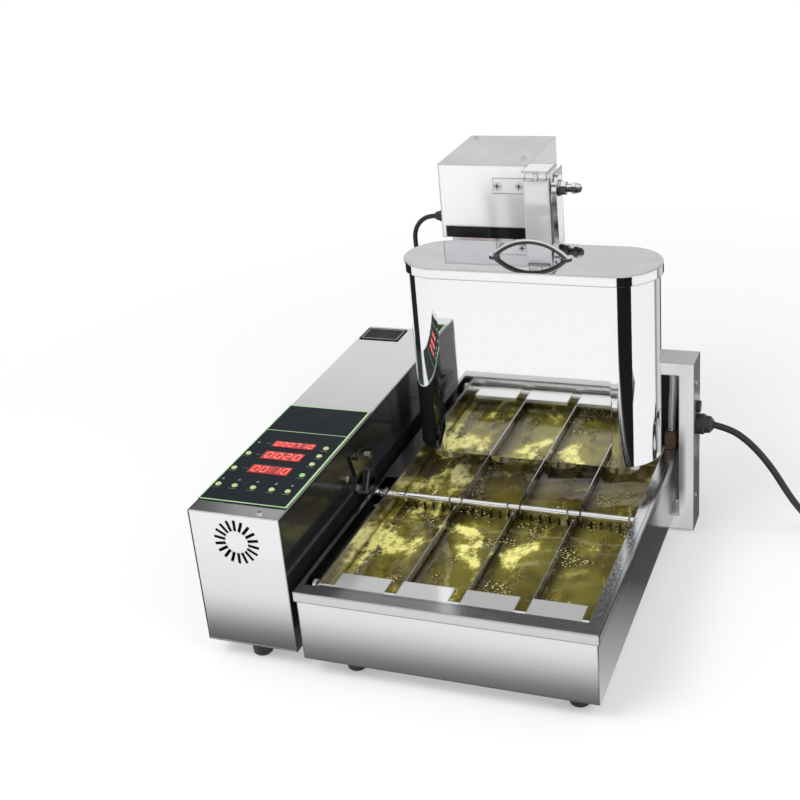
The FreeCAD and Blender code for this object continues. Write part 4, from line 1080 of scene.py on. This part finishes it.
@dataclass
class FryerBody(SubAssembly):
    """Base shell, rim, feet and rear portal with the shield behind its terminals, whose black stands in for
    the shade inside the portal.

    Attributes:
        shield_width: How far the shield reaches in from the portal's right side.
        shield_lip: How far its inner edge is folded forward.
        shield_gauge: Its thickness, and the radius of its fold.
        shield_gap: How far its top stays below the portal's.
    """

    shield_width: float = 0.0478
    shield_lip: float = 0.006
    shield_gauge: float = 0.0010
    shield_gap: float = 0.0005

    LOOKS: ClassVar = (
        (FRONT, ("base_shell",)),
        (RIM, ("rim_frame",)),
        (POST, ("portal_frame",)),
        (HIDDEN, ("base_pan", "box_spacers")),
        (RUBBER, ("feet",)),
        (BLACK, ("cable_glands",)),
        (BROWN, ("terminal_block",)),
    )

    def build(self) -> None:
        """Makes the black folded shield on the portal's back, behind the terminals; its black is painted
        shade inside the portal.
        """
        top = Vector(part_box("portal_frame")[1])
        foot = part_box("rim_frame")[1][2]
        gauge = self.shield_gauge
        inner, front = top.x - self.shield_width, top.y - self.shield_lip
        plan = [(top.x, top.y), (inner, top.y), (inner, front), (inner - gauge, front)]
        for turn in (math.radians(angle) for angle in range(0, 91, 15)):
            plan.append((inner - gauge * math.cos(turn), top.y + gauge * math.sin(turn)))
        plan.append((top.x, top.y + gauge))
        shape = Shape()
        shape.prism([Vector((x, y, foot)) for x, y in plan], Vector((0, 0, top.z - self.shield_gap - foot)))
        self.wardrobe.dress_piece(shape.done("terminal_shield_and_shade"), RECESS_SHADE, "black_plastic")


@dataclass
class OilTank(SubAssembly):
    """Tank, lanes, heater and the frying oil in the lanes.

    Attributes:
        level: The oil's surface over the counter.
        depth: How far down the oil is modelled.
        lanes: The lanes' sides, from right to left.
        ends: The lanes' front and back.
        columns: Faces across a lane.
        rows: Faces along a lane.
        swell: The height of the slow waves.
        chop: The height of the quick ones.
        creep: How far the oil climbs at a wall.
        creep_reach: How far from the wall it does.
    """

    level: float = 0.0790
    depth: float = 0.0040
    lanes: tuple[tuple[float, float], ...] = (
        (0.1161, 0.1860), (0.0451, 0.1145), (-0.0259, 0.0435), (-0.1064, -0.0275),
    )
    ends: tuple[float, float] = (-0.2837, 0.0917)
    columns: int = 18
    rows: int = 80
    swell: float = 0.0004
    chop: float = 0.00018
    creep: float = 0.0007
    creep_reach: float = 0.0015

    LOOKS: ClassVar = (
        (TANK, ("oil_tank", "lane_rack", "heating_element", "thermostat_bulb")),
        (BRASS, ("shaft_bushes",)),
    )

    def wave(self, across: float, along: float) -> float:
        """Works out how far hot oil stands above its level in the open.

        Args:
            across: The point's x.
            along: The point's y.

        Returns:
            The height in metres.
        """
        slow = math.sin(61 * across + 23 * along) * math.sin(47 * along - 31 * across)
        quick = math.sin(190 * across - 60 * along) * math.sin(150 * along + 80 * across)
        return self.swell * slow + self.chop * quick

    def build(self) -> None:
        """Fills each lane with oil that creeps up its walls."""
        front, back = self.ends
        for number, (west, east) in enumerate(self.lanes, start=1):
            loops = []
            for row in range(self.rows + 1):
                along = front + (back - front) * row / self.rows
                top = []
                for column in range(self.columns + 1):
                    across = west + (east - west) * column / self.columns
                    edge = min(across - west, east - across, along - front, back - along)
                    climb = self.creep * math.exp(-edge / self.creep_reach)
                    top.append(Vector((across, along, self.level + climb + self.wave(across, along))))
                under = [Vector((spot.x, spot.y, self.level - self.depth)) for spot in (top[-1], top[0])]
                loops.append(top + under)
            shape = Shape()
            shape.rings(loops)
            self.wardrobe.dress_piece(shape.done(f"oil_lane_{number}", smooth=True), OIL, None)


@dataclass
class ControlBox(SubAssembly):
    """Control box with its printed overlay, displays, lamps, buttons and fan.

    Attributes:
        overlay: The print's left, front, width and length on the panel, in mm.
        stripe: The width of its printed border at the right, in mm.
        stripe_ends: The border's width at front and back, in mm.
        stripe_left: The border's width at the left, in mm.
        divider: Where the cross line lies, in mm from the body's front.
        divider_width: That line's width, in mm.
        dash: The width of a printed dash, in mm.
        button_dash: The length of a button's dash, in mm.
        button_gap: From a button's front to its dash's, in mm.
        display_dash: The length of a display's dash, in mm.
        display_gap: From the start of that dash to the glass, in mm.
        display_rise: How far up the glass it lies, for each mm of the glass's height.
        window: How far the displays' glass stands above the print, in mm.
        figure: The figures' height for each mm of the glass's.
        fill: Their greatest width for each mm from figure to figure.
        slim: Their greatest width for each mm of their height.
        stroke: The width of their bars for each mm of their height.
        reach: How much of its side of a figure a bar takes up.
        dot: The side of a colon's dots, in mm.
        row: The width of a row of figures for each mm of the glass's.
        colon: The room that a colon takes, in figures.
        slant: How far figures lean for each mm of height.
        plate_inset: From the bare plate's edge to its line, in mm.
        plate_line: That line's width, in mm.
        border_ink: The border print's thickness, in metres.
        ink: The other print's thickness, in metres.
        light: The lit bars' thickness, in metres.
    """

    overlay: tuple[float, float, float, float] = (1.0, 32.0, 106.6, 235.0)
    stripe: float = 2.8
    stripe_ends: float = 1.96
    stripe_left: float = 1.4
    divider: float = 199.0
    divider_width: float = 1.1
    dash: float = 0.9
    button_dash: float = 9.0
    button_gap: float = 3.4
    display_dash: float = 6.0
    display_gap: float = 9.0
    display_rise: float = 0.45
    window: float = 0.6
    figure: float = 0.66
    fill: float = 0.58
    slim: float = 0.56
    stroke: float = 0.13
    reach: float = 0.9
    dot: float = 1.2
    row: float = 0.95
    colon: float = 0.45
    slant: float = 0.12
    plate_inset: float = 3.0
    plate_line: float = 0.7
    border_ink: float = 0.00012
    ink: float = 0.00010
    light: float = 0.00015

    LOOKS: ClassVar = (
        (ROOF, ("control_cover",)),
        (VENT, ("control_front_panel",)),
        (HIDDEN, ("control_chassis",)),
        (FILM, ("control_overlay",)),
        (GLASS, ("display_windows",)),
        (LAMP, ("indicator_lamps",)),
        (BADGE, ("badge_plate",)),
        (BOARD, ("control_board",)),
        (BLACK, ("fan_frame", "fan_rotor")),
        (CAP, tuple(name for name in BUTTONS if name != START_BUTTON)),
        (START, (START_BUTTON,)),
    )

    # Each display's figures, and its glass's left, front, width and height on the panel, in mm
    DISPLAYS: ClassVar = (("000710", 27, 160, 52, 13), ("0020", 27, 130, 49, 18), ("00:10", 27, 97, 49, 18))

    # Each bar's middle, in figure widths across and half heights up, and whether it stands:
    # top, top right, bottom right, bottom, bottom left, top left, middle
    BARS: ClassVar[dict[str, tuple[float, float, bool]]] = {
        "a": (0.5, 2, False), "b": (1, 1.5, True), "c": (1, 0.5, True), "d": (0.5, 0, False),
        "e": (0, 0.5, True), "f": (0, 1.5, True), "g": (0.5, 1, False),
    }
    # The lit bars of each figure
    LIT: ClassVar[dict[str, str]] = {"0": "abcdef", "1": "bc", "2": "abdeg", "7": "abc"}

    def build(self) -> None:
        """Makes the print's border and legends, the lit figures and the bare plate's line."""
        self.border()
        self.legends()
        for number, display in enumerate(self.DISPLAYS, start=1):
            self.figures(f"display_figures_{number}", *display)
        self.plate_frame()

    def border(self) -> None:
        """Prints the green border and the line across it."""
        left, front, wide, long = self.overlay
        strips = frame_strips(wide, long, self.stripe_ends, self.stripe_left, self.stripe)
        clear = wide - self.stripe_left - self.stripe
        strips.append((self.stripe_left, self.divider - front, clear, self.divider_width))
        shape = Shape()
        for x, y, across, along in strips:
            shape.strip(on_panel(left + x, front + y), across, along, self.border_ink)
        self.wardrobe.dress_piece(shape.done("overlay_border_print"), BORDER, "overlay_film")

    def legends(self) -> None:
        """Prints a plain dash beside each button and beside each display."""
        shape = Shape()
        for name in BUTTONS:
            low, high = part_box(name)
            middle = (low[0] + high[0]) / 2
            foot = Vector((middle - self.button_dash / 2000, low[1] - self.button_gap / 1000, PANEL_TOP))
            shape.strip(foot, self.button_dash, self.dash, self.ink)
        for _, across, along, _, high in self.DISPLAYS:
            foot = on_panel(across - self.display_gap, along + high * self.display_rise)
            shape.strip(foot, self.display_dash, self.dash, self.ink)
        self.wardrobe.dress_piece(shape.done("overlay_legends"), LEGEND, "overlay_film")

    def bar(self, shape: Shape, middle: Vector, run: Vector, width: float) -> None:
        """Adds one lit bar of a figure, pointed at both ends.

        Args:
            shape: The mesh it goes into.
            middle: Its middle on the glass.
            run: From its middle to one tip.
            width: Its width in metres.
        """
        side = Vector((-run.y, run.x, 0)).normalized() * width / 2
        flank = run - run.normalized() * width / 2
        outline = [-run, side - flank, side + flank, run, flank - side, -flank - side]
        shape.prism([middle + corner for corner in outline], Vector((0, 0, self.light)))

    def figures(self, name: str, text: str, across: float, along: float, wide: float, high: float) -> None:
        """Makes the lit figures of one display.

        Args:
            name: The piece's name.
            text: What it shows.
            across: The glass's left, in mm from the panel's left.
            along: The glass's front, in mm from the body's front.
            wide: The glass's width in mm.
            high: The glass's height in mm.
        """
        tall = high * self.figure
        half = tall / 2
        low = along + (high - tall) / 2
        pitch = wide * self.row / (len(text) - (1 - self.colon) * text.count(":"))
        narrow = min(pitch * self.fill, tall * self.slim)
        shape = Shape()
        pen = across + wide * (1 - self.row) / 2 + (pitch - narrow) / 2
        for figure in text:
            if figure == ":":
                for step in (0.6, 1.4):
                    up = step * half
                    foot = on_panel(pen + self.slant * up, low + up - self.dot / 2, self.window)
                    shape.strip(foot, self.dot, self.dot, self.light)
                pen += pitch * self.colon
                continue
            for part in self.LIT[figure]:
                x, y, stands = self.BARS[part]
                middle = on_panel(pen + x * narrow + self.slant * y * half, low + y * half, self.window)
                run = Vector((self.slant * half, half, 0)) if stands else Vector((narrow, 0, 0))
                self.bar(shape, middle, run / 2000 * self.reach, tall * self.stroke / 1000)
            pen += pitch
        self.wardrobe.dress_piece(shape.done(name), DIGIT, "display_red")

    def plate_frame(self) -> None:
        """Prints the thin line inside the bare plate's edge."""
        low, high = (Vector(corner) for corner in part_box("badge_plate"))
        inset = self.plate_inset / 1000
        wide = (high.x - low.x - 2 * inset) * 1000
        long = (high.y - low.y - 2 * inset) * 1000
        corner = Vector((low.x + inset, low.y + inset, high.z))
        shape = Shape()
        for x, y, across, along in frame_strips(wide, long, *(self.plate_line,) * 3):
            shape.strip(corner + Vector((x, y, 0)) / 1000, across, along, self.ink)
        self.wardrobe.dress_piece(shape.done("badge_plate_line"), BADGE_LINE, "black_plastic")


@dataclass
class Fasteners(SubAssembly):
    """Screw heads, with the shade in their cross recesses painted as dark crosses.

    Attributes:
        arm: The recess's half length for each metre of the head's radius.
        web: Its half width for each metre of the head's radius.
        proud: How far its dark face stands off the head, so that it shows.
    """

    arm: float = 0.62
    web: float = 0.15
    proud: float = 0.00002

    LOOKS: ClassVar = ((FITTING, ("sheet_screws",)),)

    # Each head's outer face: middle, facing direction and radius
    HEADS: ClassVar[tuple[tuple[Point, Point, float], ...]] = (
        ((-0.0317, 0.1673, 0.4070), (0, -1, 0), 0.0048), ((-0.0037, 0.1673, 0.4070), (0, -1, 0), 0.0048),
        ((-0.0057, 0.2010, 0.4350), (0, 0, 1), 0.0032), ((-0.0967, 0.2920, 0.4350), (0, 0, 1), 0.0032),
        ((-0.1624, -0.2880, 0.1898), (0, 0, 1), 0.0030), ((-0.1624, 0.2091, 0.1898), (0, 0, 1), 0.0030),
        ((0.2263, 0.0900, 0.1980), (1, 0, 0), 0.0032), ((0.2263, 0.0900, 0.0470), (1, 0, 0), 0.0032),
    )

    def build(self) -> None:
        """Makes the dark cross of painted shade in each head."""
        shape = Shape()
        for middle, facing, radius in self.HEADS:
            up = Vector(facing)
            side = Vector((0, 1, 0)) if facing[0] else Vector((1, 0, 0))
            other = up.cross(side)
            long = self.arm * radius
            thin = self.web * radius
            tip = ((long, -thin), (long, thin), (thin, thin))
            plan = []
            for _ in range(4):
                plan += [Vector(middle) + side * x + other * y for x, y in tip]
                side, other = other, -side
            shape.prism(plan, up * self.proud)
        self.wardrobe.dress_piece(shape.done("screw_recess_shades"), RECESS_SHADE, "black_plastic")


@dataclass
class Turner(SubAssembly):
    """Turner, exit lifter, their tie bar, gear motor and bearing bracket."""

    LOOKS: ClassVar = (
        (WET_SHADED, ("turner",)),
        (PLATE, ("exit_lifter",)),
        (FITTING, ("tie_bar",)),
        (BRACKET, ("bearing_bracket",)),
        (HIDDEN, ("turner_gear_motor",)),
    )


@dataclass
class Hopper(SubAssembly):
    """Batter hopper with floor, nozzles, lid and handle."""

    LOOKS: ClassVar = (
        (HOPPER, ("hopper_shell",)),
        (LID, ("hopper_lid",)),
        (FITTING, ("hopper_floor", "hopper_nozzles")),
        (HANDLE, ("lid_handle",)),
    )


@dataclass
class Depositor(SubAssembly):
    """Depositor drive: guides, slide, plungers, rocker, rod, motor box and guard."""

    LOOKS: ClassVar = (
        (BOX, ("motor_box_cover",)),
        (GUARD, ("drive_guard",)),
        (TOWER, ("motor_tower",)),
        (FITTING, ("guide_rods", "plunger_slide", "crosshead", "plungers", "connecting_rod")),
        (HANDLE, ("rocker_arm",)),
        (DARK, ("depositor_gear_motor",)),
    )


class Ramp(Enum):
    """Which way a card's tone changes, as an axis of its own box."""

    ALONG = "Y"
    UP = "Z"


def level_card(low: tuple[float, float], high: tuple[float, float], up: float = 0.0005) -> list[Point]:
    """Corners of a card that lies on the floor between two corners."""
    return [(low[0], low[1], up), (high[0], low[1], up), (high[0], high[1], up), (low[0], high[1], up)]


def upright_card(near: tuple[float, float], far: tuple[float, float], low: float, high: float) -> list[Point]:
    """Corners of a card that stands between two places, from one height to another."""
    return [(*near, low), (*far, low), (*far, high), (*near, high)]


@dataclass
class Studio:
    """White floor, soft lamps, white surroundings and the dark cards that the steel mirrors.

    Attributes:
        floor_size: The floor's side.
        floor_tone: The floor's own grey.
        shadow_zone: The reach of the object's shadow, from where it fades to where it ends.
        shadow_white: How much of the floor's glow is left inside it.
        ambient: How strongly the surroundings light the object.
        aim: Where the lamps point.
        hopper_edge: Where the hopper's right edge stands, seen from the camera.
        wedge_reach: How far the wedges reach from it.
        wedge_height: How far they lie above the floor.
    """

    floor_size: float = 24.0
    floor_tone: float = 0.93
    shadow_zone: tuple[float, float] = (0.35, 1.1)
    shadow_white: float = 0.3
    ambient: float = 0.70
    aim: Point = (0, 0, 0.1)
    hopper_edge: tuple[float, float] = (0.1943, 0.0395)
    wedge_reach: float = 1.1
    wedge_height: float = 0.0008

    # Each wedge's first and last angle, in degrees from the x axis, its nearest reach and its grey
    WEDGES: ClassVar = ((36, 48, 0.25, 0.35), (48, 75, 0.25, 0.65), (75, 112, 0.45, 0.03))

    # The dark flag beside the machine, seen from the machine
    FLAG: ClassVar[tuple[Point, ...]] = (
        (0.26, -0.09, 0.062), (0.26, -0.30, 0.004), (0.26, -0.60, 0.004),
        (0.26, -0.60, 0.33), (0.26, -0.09, 0.33),
    )

    def build(self) -> None:
        """Sets up floor, surroundings, lamps and cards."""
        bpy.context.scene.view_settings.view_transform = "Standard"
        self.floor()
        self.surroundings()
        self.lamp("key_lamp", (-1.2, -1.6, 2.4), (1.6, 1.2), 40.0)
        self.lamp("fill_lamp", (1.7, -0.9, 1.8), (1.4, 1.4), 14.0)
        self.card("front_card", level_card((-0.6, -0.50), (0.6, -0.307)), Ramp.ALONG,
                  ((0.0, 1.0), (0.475, 0.93), (0.775, 0.25), (1.0, 0.03)))
        self.card("side_card", level_card((0.2035, -0.32), (0.30, 0.45)), Ramp.ALONG,
                  ((0.0, 0.75), (0.14, 0.45), (0.36, 0.07), (1.0, 0.02)))
        self.card("flag_card", self.FLAG, Ramp.UP, ((0.0, 0.50), (0.10, 0.16), (0.19, 0.012), (1.0, 0.012)),
                  one_sided=True)
        self.card("left_card", upright_card((-0.6, 0.0), (-0.6, 0.35), 0.0, 0.6), Ramp.UP,
                  ((0.0, 0.02), (1.0, 0.02)))
        self.card("back_card", upright_card((-4, 2.2), (3, 2.2), 0.2, 4), Ramp.UP,
                  ((0.0, 0.72), (0.2, 0.75), (0.26, 0.88), (0.33, 0.6), (0.41, 0.25), (1.0, 0.2)))
        self.card("upper_card", upright_card((-2.0, -2.0), (0.5, -2.0), 1.30, 2.35), Ramp.UP,
                  ((0.0, 0.3), (0.2, 0.1), (0.75, 0.1), (1.0, 0.3)))
        self.wedges()

    def sheet(self, name: str, corners: Sequence[Point], shader: Shader) -> Item:
        """Makes a flat sheet that belongs to the studio.

        Args:
            name: The sheet's name.
            corners: Its corners, in one plane.
            shader: Its material.

        Returns:
            The sheet.
        """
        data = bpy.data.meshes.new(name)
        data.from_pydata(corners, [], [range(len(corners))])
        data.materials.append(shader.material)
        sheet = add_to_scene(name, data)
        return sheet

    def floor(self) -> None:
        """Lays a white floor that keeps the object's shadow."""
        shader = Shader("studio_floor")
        grit = shader.noise((400.0, 400.0, 400.0), 2.0)
        tone = shader.blend(grit, opaque((self.floor_tone - 0.02,) * 3), opaque((self.floor_tone,) * 3))
        shader.finish(Base_Color=tone, Roughness=0.9, Specular_IOR_Level=0.1)
        oval = shader.add("Mapping", Vector=shader.place, Scale=(1.0, 0.8, 1.0))
        where = shader.add("VectorMath", Vector=oval)
        where.operation = "LENGTH"
        white = shader.spread(where.outputs["Value"], *self.shadow_zone, self.shadow_white, 1.0)
        glow = shader.add("Emission", Color=(1, 1, 1, 1), Strength=1.0)
        shader.show(shader.mix(shader.maths("MULTIPLY", shader.seen(), white), shader.surface, glow))
        half = self.floor_size / 2
        self.sheet("studio_floor", level_card((-half, -half), (half, half), 0.0), shader)

    def surroundings(self) -> None:
        """Makes a white world, dimmer where it lights matt surfaces."""
        world = bpy.data.worlds.new("studio_world")
        world.use_nodes = True
        bpy.context.scene.world = world
        nodes = Nodes(world.node_tree)
        soft = nodes.tree.nodes["Background"]
        nodes.feed(soft.inputs["Color"], (1, 1, 1, 1))
        nodes.feed(soft.inputs["Strength"], self.ambient)
        bright = nodes.add("Background", Color=(1, 1, 1, 1), Strength=1.0)
        nodes.show(nodes.mix(nodes.seen(), soft, bright))

    def lamp(self, name: str, place: Point, size: tuple[float, float], power: float) -> None:
        """Hangs a soft lamp that faces the object.

        Args:
            name: The lamp's name.
            place: Where it hangs.
            size: Its width and height.
            power: Its power in watts.
        """
        data = bpy.data.lights.new(name, "AREA")
        data.shape = "RECTANGLE"
        data.size, data.size_y = size
        data.energy = power
        lamp = add_to_scene(name, data)
        lamp.location = place
        lamp.rotation_euler = (Vector(self.aim) - Vector(place)).to_track_quat("-Z", "Y").to_euler()
        lamp.visible_glossy = False

    def card(self, name: str, corners: Sequence[Point], ramp: Ramp, tones: Sequence[tuple[float, float]],
             one_sided: bool = False) -> None:
        """Puts up a card that only mirrors see.

        Args:
            name: The card's name.
            corners: Its corners, in one plane.
            ramp: Which way its tone changes.
            tones: Places along it, from 0 to 1, with the grey there.
            one_sided: Whether mirrors behind it look through it.
        """
        shader = Shader(name)
        inside = shader.add("TexCoord").outputs["Generated"]
        where = shader.add("SeparateXYZ", Vector=inside).outputs[ramp.value]
        tone = shader.add("ValToRGB", Fac=where)
        stops = tone.color_ramp.elements
        while len(stops) < len(tones):
            stops.new(0.5)
        for stop, (spot, grey) in zip(stops, tones):
            stop.position = spot
            stop.color = opaque((grey,) * 3)
        glow = shader.add("Emission", Color=tone, Strength=1.0)
        if one_sided:
            behind = shader.add("NewGeometry").outputs["Backfacing"]
            glow = shader.mix(behind, glow, shader.add("BsdfTransparent"))
        shader.show(glow)
        card = self.sheet(name, corners, shader)
        for ray in ("camera", "diffuse", "transmission", "volume_scatter", "shadow"):
            setattr(card, f"visible_{ray}", False)

    def wedges(self) -> None:
        """Lays grey wedges on the floor behind the hopper's right end, round its edge."""
        for number, (start, stop, near, grey) in enumerate(self.WEDGES, start=1):
            far = self.wedge_reach
            corners = []
            for angle, reach in ((start, near), (stop, near), (stop, far), (start, far)):
                turn = math.radians(angle)
                spot = Vector(self.hopper_edge) + reach * Vector((math.cos(turn), math.sin(turn)))
                corners.append((*spot, self.wedge_height))
            self.card(f"wedge_card_{number}", corners, Ramp.UP, ((0.0, grey), (1.0, grey)))


def main() -> None:
    """Builds camera, cables, sub-assemblies and studio in order."""
    logging.basicConfig(level=logging.INFO, format="%(name)s: %(message)s")
    wardrobe = Wardrobe()
    PhotoCamera().build()
    for kind in (Cabling, FryerBody, OilTank, ControlBox, Fasteners, Turner, Hopper, Depositor):
        assembly = kind(wardrobe)
        assembly.dress()
        assembly.build()
    Studio().build()


if __name__ == "__main__":
    main()
